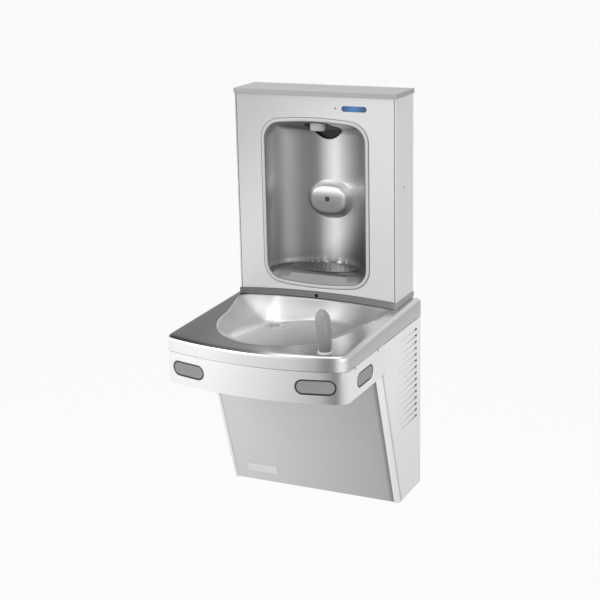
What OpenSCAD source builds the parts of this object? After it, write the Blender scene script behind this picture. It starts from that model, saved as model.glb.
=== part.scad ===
// Wall hung bottle filling station: a filler cabinet with a sensor alcove, standing on the basin
// of a water cooler with a bubbler. X runs to the right, Y into the wall, Z up.
// The origin is the middle of the lower back edge, on the wall plane.

/* [Upper cabinet] */
// Width of the filler cabinet
filler_w = 420; // [412:1:424]
// Depth of the filler cabinet, from the wall to its front panel
filler_d = 115; // [112:1:118]
// Height of the filler cabinet above the ledge
filler_h = 492; // [484:1:520]
// Height of the top cap
cap_h = 11; // [6:1:16]
// How far the top cap stands out at each side
cap_lip = 3; // [2:0.5:5]
// Thickness of the sheet metal
sheet_t = 1.5; // [1.2:0.1:1.8]
// Height of the ledge between basin and filler, at its ends
ledge_h = 16; // [14:1:20]
// How far the ledge and the panel edge above it arch up in the middle
arch_h = 9; // [6:1:11]

/* [Alcove] */
// Width of the opening inside its trim
open_w = 264; // [254:1:268]
// Height of the panel above the opening, at the middle
open_top = 62; // [58:1:66]
// Height from the ledge to the lower edge of the opening
open_lift = 28; // [26:1:32]
// Radius of the opening's corners
open_r = 42; // [36:1:46]
// How far the top and bottom edges bow out
open_bow = 10; // [7:1:12]
// Width of the trim ring
trim_w = 9; // [7:0.5:10]
// Thickness of the trim ring in front of the panel
trim_t = 2; // [1.5:0.1:2.5]
// Gap between the alcove's back and the wall
alcove_back = 12; // [11:0.5:14]
// Height of the alcove's floor above the opening's lower edge
floor_rise = 29; // [26:1:32]
// Drop of the ceiling from front to back
ceiling_drop = 34; // [30:1:38]
// Radius of the hole in the ceiling
mouth_r = 46; // [42:0.5:46.5]
// Height of the sensor above the alcove's floor
sensor_rise = 170; // [155:1:185]
// Largest radius of the sensor nose
nose_r = 52; // [46:1:54]
// How far the nose stands out from the alcove's back
nose_out = 30; // [26:1:32]
// Radius of the sensor window
window_r = 6.5; // [5:0.25:8]

/* [Basin] */
// Width over the basin, the apron and the lower cabinet
unit_w = 460; // [456:1:466]
// Depth from the wall to the middle of the bowed front
basin_d = 504; // [500:1:512]
// How far the front bows out over the full width
bow_h = 39; // [32:1:44]
// Plan radius of the front corners
corner_r = 28; // [24:1:34]
// Height of the basin's skirt at the front
skirt_h = 36; // [33:1:40]
// How much higher the deck is at the wall than at the front
deck_rise = 13; // [10:1:15]
// Radius of the deck's rolled edge
roll_r = 12; // [9:0.5:14]
// How much narrower the bowl's floor is than its rim, at each side
bowl_slope = 34; // [30:1:42]
// Depth of the bowl at its drain, below the front of the deck
bowl_depth = 41; // [36:1:44]
// Radius of the drain hole
drain_r = 16; // [15:0.25:17]

/* [Bubbler] */
// Height of the bubbler guard
guard_h = 90; // [80:1:100]
// Half width of the guard at its widest
guard_r = 17.5; // [16:0.5:19]
// How far the guard's tip leans over the bowl
guard_lean = 22; // [16:1:26]
// Radius of the spout
spout_r = 5; // [4:0.25:5.5]

/* [Apron and pads] */
// Height of the apron
apron_h = 75; // [73:1:80]
// How far from the wall the apron's side wraps end
wrap_y = 244; // [240:1:250]
// Width of a push pad
pad_w = 94; // [88:1:98]
// Height of a push pad
pad_h = 35; // [32:1:38]
// How far a pad travels
pad_travel = 4; // [3:0.5:5]
// Distance of each front pad's middle from the side
pad_side = 69; // [67:1:74]
// Distance of the side pads from the wall
side_pad_y = 362; // [356:1:368]

/* [Lower cabinet] */
// Height of the lower cabinet, up to the apron
lower_h = 368; // [362:1:380]
// Depth of the lower cabinet at its foot
lower_d = 152; // [150:1:160]
// Depth of the lower cabinet under the apron
lower_top_d = 272; // [266:1:280]
// Radius of the side panels' front bends
bend_r = 10; // [8:0.5:11]
// Number of louvres on each side
louvre_n = 15; // [10:1:15]
// Distance between louvres
louvre_pitch = 16.2; // [15:0.1:16.5]
// Length of a louvre
louvre_l = 148; // [130:1:152]
// Width of the name plate
plate_w = 85; // [70:1:95]
// Height of the name plate
plate_h = 25; // [18:1:28]

/* [Inside] */
// Radius of the compressor
compressor_r = 50; // [44:1:52]
// Radius of the cooling tank
tank_r = 48; // [42:1:50]
// Radius of the fan
fan_r = 58; // [50:1:60]
// Radius of the waste pipe, a 1 1/4 inch pipe
waste_r = 15.9; // [15:0.1:16.2]
// Radius of the water inlet stub, a 3/8 inch tube
inlet_r = 4.76; // [4.5:0.02:5.2]
// Turn of the thermostat knob each way, in degrees
knob_turn = 135; // [90:5:150]

/* [Hidden] */
$fn = 48;

// Overrun of every cut, the gap between pieces that seat on each other, and a seam's gap
over = 1;
seat_gap = 0.3;
seam_gap = 0.5;

// Levels, from the cabinet's foot upwards
seam_z = lower_h + apron_h;
deck_front_z = seam_z + skirt_h;
function deck_z(y) = deck_front_z + deck_rise * (1 + y / basin_d);
ledge_z = deck_z(-filler_d) + ledge_h;
filler_top_z = ledge_z + filler_h;
half_w = unit_w / 2;
filler_half = filler_w / 2;

// The bowed front: centre and radius of its arc, and the centre of its corner arc
bow_r = (half_w * half_w + bow_h * bow_h) / (2 * bow_h);
bow_y = bow_r - basin_d;
corner_x = half_w - corner_r;
corner_y = bow_y - sqrt(pow(bow_r - corner_r, 2) - pow(corner_x, 2));
corner_end = atan2(corner_y - bow_y, corner_x);
corner_steps = 5;
bow_steps = 18;
side_steps = 4;
back_steps = 11;

// Half of the plan outline, from the middle of the back round the right side to the middle of
// the front, drawn in by a distance
function half_outline(inset) = concat(
    [for (i = [0:back_steps]) [(half_w - inset) * i / back_steps, -inset]],
    [for (i = [1:side_steps]) [half_w - inset, -inset + (corner_y + inset) * i / side_steps]],
    [for (i = [1:corner_steps]) let (a = corner_end * i / corner_steps)
        [corner_x + (corner_r - inset) * cos(a), corner_y + (corner_r - inset) * sin(a)]],
    [for (i = [1:bow_steps]) let (a = corner_end + (-90 - corner_end) * i / bow_steps)
        [(bow_r - inset) * cos(a), bow_y + (bow_r - inset) * sin(a)]]);
// The left half is the right half mirrored, without the two points on the middle line
function whole_outline(inset) = let (h = half_outline(inset), n = len(h))
    concat(h, [for (i = [n - 2:-1:1]) [-h[i][0], h[i][1]]]);

// A flat triangle skin from rings of points that all have one length, closed round both ways
function ring_faces(n, m) = [for (k = [0:m - 1], i = [0:n - 1], s = [0:1])
    let (a = k * n + i, b = k * n + (i + 1) % n,
        c = ((k + 1) % m) * n + (i + 1) % n, d = ((k + 1) % m) * n + i)
    s == 0 ? [a, b, c] : [a, c, d]];
// The same from rings stacked between a first and a last point
function capped_faces(n, m) = concat(
    [for (k = [0:m - 2], i = [0:n - 1], s = [0:1])
        let (a = k * n + i, b = k * n + (i + 1) % n, c = (k + 1) * n + (i + 1) % n, d = (k + 1) * n + i)
        s == 0 ? [a, b, c] : [a, c, d]],
    [for (i = [0:n - 1]) [m * n, (i + 1) % n, i]],
    [for (i = [0:n - 1]) [m * n + 1, (m - 1) * n + i, (m - 1) * n + (i + 1) % n]]);

// A box between two corners, and rods along the three axes
module block(lo, hi) { translate(lo) cube(hi - lo); }
module rod_x(p, r, l) { translate(p) rotate([0, 90, 0]) cylinder(r = r, h = l); }
module rod_y(p, r, l) { translate(p) rotate([-90, 0, 0]) cylinder(r = r, h = l); }
module rod_z(p, r, l) { translate(p) cylinder(r = r, h = l); }
// Both sides of the middle plane
module both() { children(); mirror([1, 0, 0]) children(); }
// An outline drawn in X and Z, made solid along Y from y to y + t
module upright_xz(y, t) { translate([0, y + t, 0]) rotate([90, 0, 0]) linear_extrude(t) children(); }
// An outline drawn in Y and Z, made solid along X from x to x + t
module upright_yz(x, t) { translate([x, 0, 0]) rotate([90, 0, 90]) linear_extrude(t) children(); }
// A bar with round ends, w by h, drawn flat
module stadium(w, h) {
    square([w - h, h], center = true);
    for (s = [-1, 1]) translate([s * (w - h) / 2, 0]) circle(r = h / 2);
}
// A tube through points, with a soldered elbow at each inner point
elbow_share = 1.3;
module tube_run(pts, r) {
    for (i = [0:len(pts) - 2]) {
        d = pts[i + 1] - pts[i];
        l = norm(d);
        translate(pts[i]) rotate([0, acos(d[2] / l), atan2(d[1], d[0])]) cylinder(r = r, h = l, $fn = 24);
        if (i > 0) translate(pts[i]) sphere(r = r * elbow_share, $fn = 24);
    }
}

// Alcove: its opening, plan and section
open_half = open_w / 2;
open_h = filler_h - open_lift - open_top;
open_z = ledge_z + open_lift + open_h / 2;
panel_back = -filler_d + sheet_t;
arc_steps = 8;
edge_steps = 7;
// A quarter of the opening, from its side to its top, for half sizes a and b and a corner radius r
function open_quarter(a, b, r) = let (
    lean = 90 - atan(2 * open_bow * (a - r) / (a * a)),
    x0 = a - r + r * cos(lean),
    z0 = b - open_bow * x0 * x0 / (a * a))
    concat([for (i = [0:arc_steps]) let (t = lean * i / arc_steps)
            [a - r + r * cos(t), z0 - r * sin(lean) + r * sin(t)]],
        [for (i = [1:edge_steps]) let (x = x0 * (1 - i / edge_steps)) [x, b - open_bow * x * x / (a * a)]]);
function open_outline(grow) = let (
    q = open_quarter(open_half + grow, open_h / 2 + grow, open_r + grow), n = len(q))
    concat(q, [for (i = [n - 2:-1:0]) [-q[i][0], q[i][1]]],
        [for (i = [0:n - 1]) [-q[i][0], -q[i][1]]], [for (i = [n - 2:-1:0]) [q[i][0], -q[i][1]]]);
module open_shape(grow) { translate([0, open_z]) polygon(open_outline(grow)); }

ceiling_set = 4;
alcove_floor_z = open_z - open_h / 2 + floor_rise;
alcove_top_z = open_z + open_h / 2 - ceiling_set;
alcove_depth = filler_d - alcove_back;
lip_depth = 26;
// The ceiling's height at a distance from the wall
function ceiling_z(y, grow) = alcove_top_z + grow
    - ceiling_drop * (y + filler_d + over) / (alcove_depth + grow + over);
plan_steps = 28;
lip_steps = 6;
// The round back in plan, half an ellipse
module alcove_plan(grow) {
    polygon(concat([[open_half + grow, -filler_d - over]],
        [for (i = [0:plan_steps]) let (t = 180 * i / plan_steps)
            [(open_half + grow) * cos(t), -filler_d + (alcove_depth + grow) * sin(t)]],
        [[-open_half - grow, -filler_d - over]]));
}
// The section: a sloped ceiling, a straight back, a floor, and a lip that rolls down to the front
module alcove_section(grow) {
    y0 = -filler_d - over;
    y1 = -alcove_back + grow;
    polygon(concat([[y0, ceiling_z(y0, grow)], [y1, ceiling_z(y1, grow)], [y1, alcove_floor_z - grow]],
        [for (i = [0:lip_steps]) let (t = 90 * i / lip_steps)
            [-filler_d + lip_depth - lip_depth * sin(t), alcove_floor_z - grow - floor_rise * (1 - cos(t))]],
        [[y0, alcove_floor_z - grow - floor_rise]]));
}
module alcove_hollow(grow) {
    intersection() {
        translate([0, 0, ledge_z]) linear_extrude(filler_h) alcove_plan(grow);
        upright_yz(-filler_half, filler_w) alcove_section(grow);
        upright_xz(-filler_d - over, filler_d) open_shape(grow);
    }
}
mouth_set = 4.5;
mouth_y = -filler_d / 2 - mouth_set;
sensor_z = alcove_floor_z + sensor_rise;
nose_face_r = 35;
nose_front = -alcove_back - nose_out;
nose_steps = 6;
// The nose as a dome round the Y axis, seen in section as radius against distance from the wall
module nose_dome(grow) {
    translate([0, -alcove_back, sensor_z]) rotate([90, 0, 0]) rotate_extrude($fn = 64)
        polygon(concat([[0, -grow], [nose_r + grow, -grow]],
            [for (i = [0:nose_steps]) let (t = 90 * i / nose_steps)
                [nose_face_r + grow + (nose_r - nose_face_r) * cos(t), (nose_out - sheet_t + grow) * sin(t)]],
            [[0, nose_out - sheet_t + grow]]));
}
flange_w = 8;
fit_gap = 0.5;
module alcove_shell() {
    color("silver") difference() {
        union() {
            difference() {
                union() {
                    intersection() {
                        alcove_hollow(sheet_t);
                        block([-filler_half, -filler_d, ledge_z], [filler_half, 0, filler_top_z]);
                    }
                    upright_xz(panel_back + seat_gap, sheet_t) open_shape(flange_w);
                }
                alcove_hollow(0);
            }
            intersection() {
                nose_dome(sheet_t);
                block([-filler_half, -filler_d, ledge_z], [filler_half, -alcove_back + sheet_t, filler_top_z]);
            }
        }
        nose_dome(0);
        rod_y([0, -alcove_back - over, sensor_z], nose_face_r, alcove_back);
        rod_y([0, nose_front - over, sensor_z], window_r + seat_gap / 3, nose_out);
        rod_z([0, mouth_y, alcove_top_z - ceiling_drop - 2 * alcove_back], mouth_r, filler_h);
        for (i = [0:len(cup_holes) - 1])
            rod_z([cup_holes[i], grille_y, alcove_floor_z - alcove_back], cup_hole_r, 2 * alcove_back);
    }
}
module alcove_trim() {
    color("gainsboro") upright_xz(-filler_d - trim_t, trim_t) difference() {
        open_shape(trim_w);
        open_shape(0);
    }
}

// Grille: rings of holes round a slot, on the alcove's floor
grille_t = 1.6;
grille_a = 88;
grille_b = 38;
grille_set = 2.5;
grille_y = -filler_d / 2 - grille_set;
ring_y = -84;
ring_step = 12;
ring_n = 6;
hole_r = 2.6;
hole_step = 11;
slot_w = 12;
slot_h = 4;
rim_w = 6;
grille_steps = 40;
function in_grille(p) = pow(p[0] / (grille_a - rim_w), 2) + pow((p[1] - grille_y) / (grille_b - rim_w), 2) < 1;
module alcove_grille() {
    color("silver") translate([0, 0, alcove_floor_z]) difference() {
        linear_extrude(grille_t) polygon([for (i = [0:grille_steps - 1]) let (t = 360 * i / grille_steps)
            [grille_a * cos(t), grille_y + grille_b * sin(t)]]);
        for (k = [1:ring_n]) {
            r = k * ring_step;
            n = round(2 * PI * r / hole_step);
            for (i = [0:n - 1]) {
                p = [r * cos(360 * (i + 0.5) / n), ring_y + r * sin(360 * (i + 0.5) / n)];
                if (in_grille(p)) rod_z([p[0], p[1], -over], hole_r, grille_t + 2 * over);
            }
        }
        translate([0, ring_y, -over]) linear_extrude(grille_t + 2 * over) square([slot_w, slot_h], center = true);
    }
}
// Drain cup under the grille, and the tube from it to the ledge's outlet
cup_a = 62;
cup_d = 26;
cup_depth = 22;
cup_wall = 1.5;
cup_hole_r = 9;
cup_holes = [-40, -13, 13, 40];
cup_top = alcove_floor_z - sheet_t - seat_gap;
outlet_r = 5;
outlet_z = ledge_z + arch_h - outlet_r - ledge_h / 3;
module alcove_drain_cup() {
    color("dimgray") difference() {
        block([-cup_a, grille_y - cup_d / 2, cup_top - cup_depth], [cup_a, grille_y + cup_d / 2, cup_top]);
        block([-cup_a + cup_wall, grille_y - cup_d / 2 + cup_wall, cup_top - cup_depth + cup_wall],
            [cup_a - cup_wall, grille_y + cup_d / 2 - cup_wall, cup_top + over]);
        rod_z([0, grille_y, cup_top - cup_depth - over], outlet_r - cup_wall, cup_depth);
    }
}
module alcove_drain_tube() {
    color("gray") difference() {
        union() {
            rod_z([0, grille_y, outlet_z], outlet_r, cup_top - cup_depth - seat_gap - outlet_z);
            rod_y([0, -filler_d - sheet_t, outlet_z], outlet_r, filler_d + sheet_t + grille_y);
            translate([0, grille_y, outlet_z]) sphere(r = outlet_r * elbow_share);
        }
        rod_z([0, grille_y, outlet_z], outlet_r - cup_wall, filler_h);
        rod_y([0, -filler_d - sheet_t - over, outlet_z], outlet_r - cup_wall, filler_d + sheet_t + over + grille_y);
    }
}

// Nozzle: a block that hangs from the roof of its housing
nozzle_y = -92;
nozzle_w = 38;
nozzle_d = 26;
nozzle_h = 24;
nozzle_drop = 4;
nozzle_z = alcove_top_z - ceiling_drop / 2 - nozzle_drop;
neck_r = 9;
water_r = 4;
housing_wall = 2;
housing_h = 36;
housing_gap = 2;
housing_top = alcove_top_z + housing_h;
module fill_nozzle() {
    color("lightgray") difference() {
        union() {
            translate([0, nozzle_y, nozzle_z]) linear_extrude(nozzle_h) stadium(nozzle_w, nozzle_d);
            rod_z([0, nozzle_y, nozzle_z], neck_r, housing_top - housing_wall - seat_gap - nozzle_z);
        }
        rod_z([0, nozzle_y, nozzle_z - over], water_r, filler_h);
    }
}
module nozzle_housing() {
    color("dimgray") difference() {
        rod_z([0, mouth_y, alcove_top_z - ceiling_drop], mouth_r + housing_wall,
            housing_top - alcove_top_z + ceiling_drop);
        rod_z([0, mouth_y, alcove_top_z - ceiling_drop - over], mouth_r,
            housing_top - housing_wall - alcove_top_z + ceiling_drop + over);
        upright_yz(-filler_half, filler_w) polygon([
            [-filler_d - over, ceiling_z(-filler_d - over, sheet_t) + seat_gap],
            [0, ceiling_z(0, sheet_t) + seat_gap], [0, ledge_z], [-filler_d - over, ledge_z]]);
        rod_z([0, nozzle_y, housing_top - housing_wall - over], water_r, 2 * housing_wall + over);
    }
}

// Sensor behind the nose
module_w = 40;
module_h = 22;
module_d = 18;
module sensor_window() {
    color("black") rod_y([0, nose_front - sheet_t / 3, sensor_z], window_r, sheet_t * 2);
}
module sensor_module() {
    color("darkgreen") {
        y0 = nose_front - sheet_t / 3 + sheet_t * 2;
        block([-module_w / 2, y0, sensor_z - module_h / 2],
            [module_w / 2, y0 + module_d, sensor_z + module_h / 2]);
        for (s = [-1, 1])
            rod_y([s * module_w / 3, y0 + module_d, sensor_z], water_r, -sheet_t - seat_gap - y0 - module_d);
    }
}

// Status light and the blue display window, both seated behind the front panel
window_side = 105.5;
light_gap = 48;
light_x = filler_half - window_side - light_gap;
light_r = 2.2;
window_x = filler_half - window_side;
window_w = 64;
window_h = 13.5;
lights_drop = 28;
lights_z = filler_top_z - lights_drop;
bezel = 3;
module status_light() {
    color("dimgray") {
        rod_y([light_x, -filler_d - seat_gap, lights_z], light_r, sheet_t + 2 * seat_gap);
        rod_y([light_x, panel_back + seat_gap, lights_z], light_r + bezel / 2, bezel);
    }
}
module display_window() {
    color("steelblue") {
        upright_xz(-filler_d - seat_gap, sheet_t + 2 * seat_gap) translate([window_x, lights_z])
            stadium(window_w, window_h);
        upright_xz(panel_back + seat_gap, bezel) translate([window_x, lights_z])
            stadium(window_w + 2 * bezel, window_h + 2 * bezel);
    }
}
// Filler cabinet: a wrapper with hemmed front edges, and the front panel between them
hem_w = 3.2;
hem_d = 12;
groove = 1.6;
panel_half = filler_half - hem_w - groove;
wall_hole_side = 40;
wall_hole_x = filler_half - wall_hole_side;
wall_hole_r = 3.5;
wall_hole_low = 60;
wall_hole_top = 62;
wall_hole_rise = filler_h - wall_hole_low - wall_hole_top;
screw_r = 1.5;
screw_gap = 0.2;
side_screw_y = -64;
side_screw_rise = 275;
module filler_wrapper() {
    color("lightgray") difference() {
        union() {
            block([-filler_half, -sheet_t, ledge_z + seat_gap], [filler_half, 0, filler_top_z]);
            block([-filler_half, -filler_d, filler_top_z - sheet_t], [filler_half, 0, filler_top_z]);
            both() {
                block([filler_half - sheet_t, -filler_d, ledge_z + seat_gap], [filler_half, 0, filler_top_z]);
                block([filler_half - hem_w, -filler_d, ledge_z + seat_gap],
                    [filler_half, -filler_d + hem_d, filler_top_z]);
            }
        }
        block([-panel_half - groove, -filler_d - over, filler_top_z - sheet_t - over],
            [panel_half + groove, panel_back + seat_gap, filler_top_z + over]);
        both() rod_x([filler_half - sheet_t - over, side_screw_y, ledge_z + side_screw_rise], screw_r + screw_gap,
            sheet_t + 2 * over);
        for (x = [-wall_hole_x, wall_hole_x], z = [wall_hole_low, wall_hole_low + wall_hole_rise])
            rod_y([x, -sheet_t - over, ledge_z + z], wall_hole_r, sheet_t + 2 * over);
    }
}
arch_steps = 24;
// The arch along the ledge, as a height above its ends
function arch(x, half) = arch_h * (1 - pow(x / half, 2));
module filler_front_panel() {
    color("gainsboro") upright_xz(-filler_d, sheet_t) difference() {
        polygon(concat([[-panel_half, filler_top_z - seat_gap], [panel_half, filler_top_z - seat_gap]],
            [for (i = [0:arch_steps]) let (x = panel_half * (1 - 2 * i / arch_steps))
                [x, ledge_z + seam_gap + arch(x, filler_half)]]));
        open_shape(sheet_t + seat_gap);
        translate([light_x, lights_z]) circle(r = light_r + seat_gap / 3);
        translate([window_x, lights_z]) stadium(window_w + seat_gap, window_h + seat_gap);
    }
}
cap_r = 4;
module top_cap() {
    w = filler_half + cap_lip;
    d = filler_d + cap_lip;
    color("darkgray") difference() {
        translate([0, 0, filler_top_z]) linear_extrude(cap_h) union() {
            translate([-w, -d + cap_r]) square([2 * w, d - cap_r]);
            translate([-w + cap_r, -d]) square([2 * (w - cap_r), d]);
            for (s = [-1, 1]) translate([s * (w - cap_r), -d + cap_r]) circle(r = cap_r);
        }
        block([-w + sheet_t, -d + sheet_t, filler_top_z - over],
            [w - sheet_t, -sheet_t, filler_top_z + cap_h - sheet_t]);
    }
}
// Ledge: an arched skirt round a top plate, on the basin's deck
ledge_lip = 2;
ledge_step = 3;
ledge_half = filler_half + ledge_lip;
ledge_d = filler_d + ledge_step;
ledge_gap = 0.8;
supply_side = 32;
supply_x = -filler_half + supply_side;
supply_y = -53;
module transition_ledge() {
    color("gray") {
        difference() {
            upright_xz(-ledge_d, sheet_t) polygon(concat(
                [for (i = [0:arch_steps]) let (x = ledge_half * (2 * i / arch_steps - 1))
                    [x, deck_z(-ledge_d) + ledge_gap + arch(x, ledge_half)]],
                [for (i = [0:arch_steps]) let (x = ledge_half * (1 - 2 * i / arch_steps))
                    [x, ledge_z + arch(x, ledge_half)]]));
            rod_y([0, -ledge_d - over, outlet_z], outlet_r + seat_gap, 2 * sheet_t + over);
        }
        both() upright_yz(ledge_half - sheet_t, sheet_t) polygon([[-ledge_d + sheet_t, deck_z(-ledge_d) + ledge_gap],
            [0, deck_z(0) + ledge_gap], [0, ledge_z], [-ledge_d + sheet_t, ledge_z]]);
        difference() {
            block([-ledge_half + sheet_t, -ledge_d + sheet_t, ledge_z - sheet_t], [ledge_half - sheet_t, 0, ledge_z]);
            rod_z([supply_x, supply_y, ledge_z - sheet_t - over], 2 * water_r, sheet_t + 2 * over);
            rod_z([0, grille_y, ledge_z - sheet_t - over], outlet_r * elbow_share + fit_gap, sheet_t + 2 * over);
            block([-outlet_r - fit_gap, -ledge_d, ledge_z - sheet_t - over],
                [outlet_r + fit_gap, grille_y, ledge_z + over]);
        }
    }
}

// Basin: rings of points from the skirt over the deck and down the bowl to the drain, and back
// underneath. Angles are taken from a point in the bowl.
bowl_y = -260;
bowl_back = -ledge_d - seat_gap - bowl_y;
rim_side = 58;
rim_gap = 49;
rim_a = half_w - rim_side;
bowl_a = rim_a - bowl_slope;
rim_front = basin_d + bowl_y - rim_gap;
rim_flare = 0.28;
floor_back = 128;
front_slope = 17;
floor_front = rim_front - front_slope;
blend_power = 12;
drain_side = 58;
drain_back = 60;
drain_x = -bowl_a + drain_side;
drain_y = bowl_y + floor_back - drain_back;
drain_z = deck_front_z - bowl_depth;
drain_flat = 27;
floor_fall_y = 0.12;
floor_fall_x = 0.075;
mid_share = 0.5;
basin_t = 1.5;
outer = whole_outline(0);
ring_n_pts = len(outer);
function ray(i) = let (p = outer[i]) atan2(p[1] - bowl_y, p[0]);
// Distance from the bowl's centre to the rim, along a direction
function ellipse_r(a, b, t) = 1 / sqrt(pow(cos(t) / a, 2) + pow(sin(t) / b, 2));
function soft_min(p, q) = pow(pow(p, -blend_power) + pow(q, -blend_power), -1 / blend_power);
function rim_r(t) = sin(t) <= 0 ? ellipse_r(rim_a, rim_front, t)
    : soft_min(bowl_back / sin(t), rim_a / max(abs(cos(t)) - rim_flare * sin(t), 1 / rim_a));
function floor_r(t) = ellipse_r(bowl_a, sin(t) > 0 ? floor_back : floor_front, t);
function floor_z(p) = min(deck_z(p[1]) - basin_t / 2,
    drain_z + floor_fall_y * max(0, drain_y - p[1] + drain_flat) + floor_fall_x * max(0, p[0] - drain_x));
// The rim rises with the arch where it meets the ledge
function rim_z(p) = deck_z(p[1]) + arch(p[0], ledge_half) * max(0, 1 - (-ledge_d - p[1]) / (ledge_d / 2));
function at_ray(r, t) = [r * cos(t), bowl_y + r * sin(t)];
function lift(p, z) = [p[0], p[1], z];
function basin_top(down, out) = [
    [for (i = [0:ring_n_pts - 1]) let (p = whole_outline(out)[i]) lift(p, seam_z + seam_gap)],
    [for (i = [0:ring_n_pts - 1]) let (p = whole_outline(out)[i]) lift(p, deck_z(p[1]) - roll_r)],
    for (a = [30, 60, 90]) [for (i = [0:ring_n_pts - 1])
        let (p = whole_outline(out + (roll_r - out) * (1 - cos(a)))[i])
        lift(p, deck_z(p[1]) - roll_r + (roll_r - down) * sin(a))],
    [for (i = [0:ring_n_pts - 1]) let (t = ray(i), p = at_ray(rim_r(t) + out, t)) lift(p, rim_z(p) - down)],
    [for (i = [0:ring_n_pts - 1]) let (t = ray(i), p = at_ray(mid_share * rim_r(t) + mid_share * floor_r(t) + out, t))
        lift(p, mid_share * rim_z(p) + mid_share * floor_z(p) - down)],
    [for (i = [0:ring_n_pts - 1]) let (t = ray(i), p = at_ray(floor_r(t) + out, t)) lift(p, floor_z(p) - down)],
    [for (i = [0:ring_n_pts - 1]) let (t = ray(i), q = at_ray(floor_r(t), t),
        d = [drain_x + drain_flat * cos(t), drain_y + drain_flat * sin(t)], p = mid_share * q + mid_share * d)
        lift(p, floor_z(p) - down)],
    for (r = [drain_flat, drain_r + seat_gap]) [for (i = [0:ring_n_pts - 1]) let (t = ray(i))
        [drain_x + r * cos(t), drain_y + r * sin(t), drain_z - down]]];
module basin() {
    top = basin_top(0, 0);
    under = basin_top(basin_t, basin_t);
    rings = concat(top, [for (k = [len(under) - 1:-1:0]) under[k]]);
    color("silver") difference() {
        polyhedron(points = [for (r = rings) each r], faces = ring_faces(ring_n_pts, len(rings)));
        rod_z([bubbler_x, bubbler_y, seam_z], shank_r + seat_gap, 2 * skirt_h);
        rod_z([supply_x, supply_y, seam_z], 2 * water_r, 2 * skirt_h + deck_rise);
    }
}
// Strainer: a holed disc with a collar that drops into the tailpiece
strainer_r = 24;
strainer_t = 1.2;
collar_h = 16;
strainer_holes = 8;
strainer_hole_r = 3;
module basin_strainer() {
    color("silver") translate([drain_x, drain_y, drain_z]) difference() {
        union() {
            rod_z([0, 0, seat_gap / 3], strainer_r, strainer_t);
            rod_z([0, 0, -collar_h], drain_r - seat_gap, collar_h + strainer_t);
        }
        rod_z([0, 0, -collar_h - over], drain_r - seat_gap - strainer_t, collar_h + over - strainer_t);
        for (i = [0:strainer_holes - 1]) rotate([0, 0, 360 * i / strainer_holes])
            rod_z([drain_r * 2 / 3, 0, -2 * strainer_t], strainer_hole_r, 4 * strainer_t);
        rod_z([0, 0, -2 * strainer_t], strainer_hole_r, 4 * strainer_t);
    }
}
// Tailpiece below the strainer, and the trap that slips into it
tail_wall = 1.8;
tail_l = 66;
tail_flange_t = 3;
trap_slip = 20;
trap_bend = 35;
trap_drop = 62;
trap_y = drain_y + 2 * trap_bend;
outlet_bend = 30;
tail_top = drain_z - basin_t - seat_gap;
tail_low = tail_top - tail_l;
trap_low = tail_low - trap_drop;
trap_rise = 40;
waste_z = trap_low + outlet_bend + trap_rise;
pipe_end = -4;
pipe_wall = 1.5;
module waste_tailpiece() {
    color("lightgray") translate([drain_x, drain_y, 0]) difference() {
        union() {
            rod_z([0, 0, tail_top - tail_flange_t], drain_flat - over, tail_flange_t);
            rod_z([0, 0, tail_low], drain_r + seat_gap + tail_wall, tail_l);
        }
        rod_z([0, 0, tail_low - over], drain_r + seat_gap / 3, tail_l + 2 * over);
    }
}
module trap_pipe(r) {
    rod_z([drain_x, drain_y, trap_low], r, tail_low + trap_slip - trap_low);
    translate([drain_x, drain_y + trap_bend, trap_low]) rotate([0, 90, 0]) rotate([0, 0, -90])
        rotate_extrude(angle = 180) translate([trap_bend, 0]) circle(r = r);
    rod_z([drain_x, trap_y, trap_low], r, waste_z - outlet_bend - trap_low);
    translate([drain_x, trap_y + outlet_bend, waste_z - outlet_bend]) rotate([0, 90, 0]) rotate([0, 0, 180])
        rotate_extrude(angle = 90) translate([outlet_bend, 0]) circle(r = r);
    rod_y([drain_x, trap_y + outlet_bend, waste_z], r, pipe_end - trap_y - outlet_bend);
}
module waste_trap() {
    color("lightgray") difference() {
        trap_pipe(waste_r);
        trap_pipe(waste_r - pipe_wall);
        rod_z([drain_x, drain_y, tail_low + trap_slip - over], waste_r - pipe_wall, 2 * over);
        rod_y([drain_x, pipe_end - over, waste_z], waste_r - pipe_wall, 2 * over);
    }
}

// Bubbler: gasket, guard, spout and nut, at the right front of the deck
bubbler_side = 57;
bubbler_front = 49;
bubbler_x = half_w - bubbler_side;
bubbler_y = -basin_d + bubbler_front;
gasket_r = 17;
gasket_h = 4;
shank_r = 7.5;
shank_drop = 24;
nut_r = 15;
nut_h = 8;
bubbler_z = deck_z(bubbler_y + gasket_r) + seat_gap / 3;
guard_turn = atan2(bubbler_x, bowl_y - bubbler_y);
guard_swell = 1.6;
crown_share = 0.72;
crown_power = 2.4;
guard_end_share = 0.97;
guard_bore_n = 12;
guard_n = 24;
guard_rings = 9;
guard_foot_share = 0.76;
guard_depth_share = 0.85;
mouth_share = 0.7;
module bubbler_gasket() {
    color("white") difference() {
        rod_z([bubbler_x, bubbler_y, bubbler_z], gasket_r, gasket_h);
        rod_z([bubbler_x, bubbler_y, bubbler_z - over], shank_r + seat_gap, gasket_h + 2 * over);
    }
}
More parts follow.
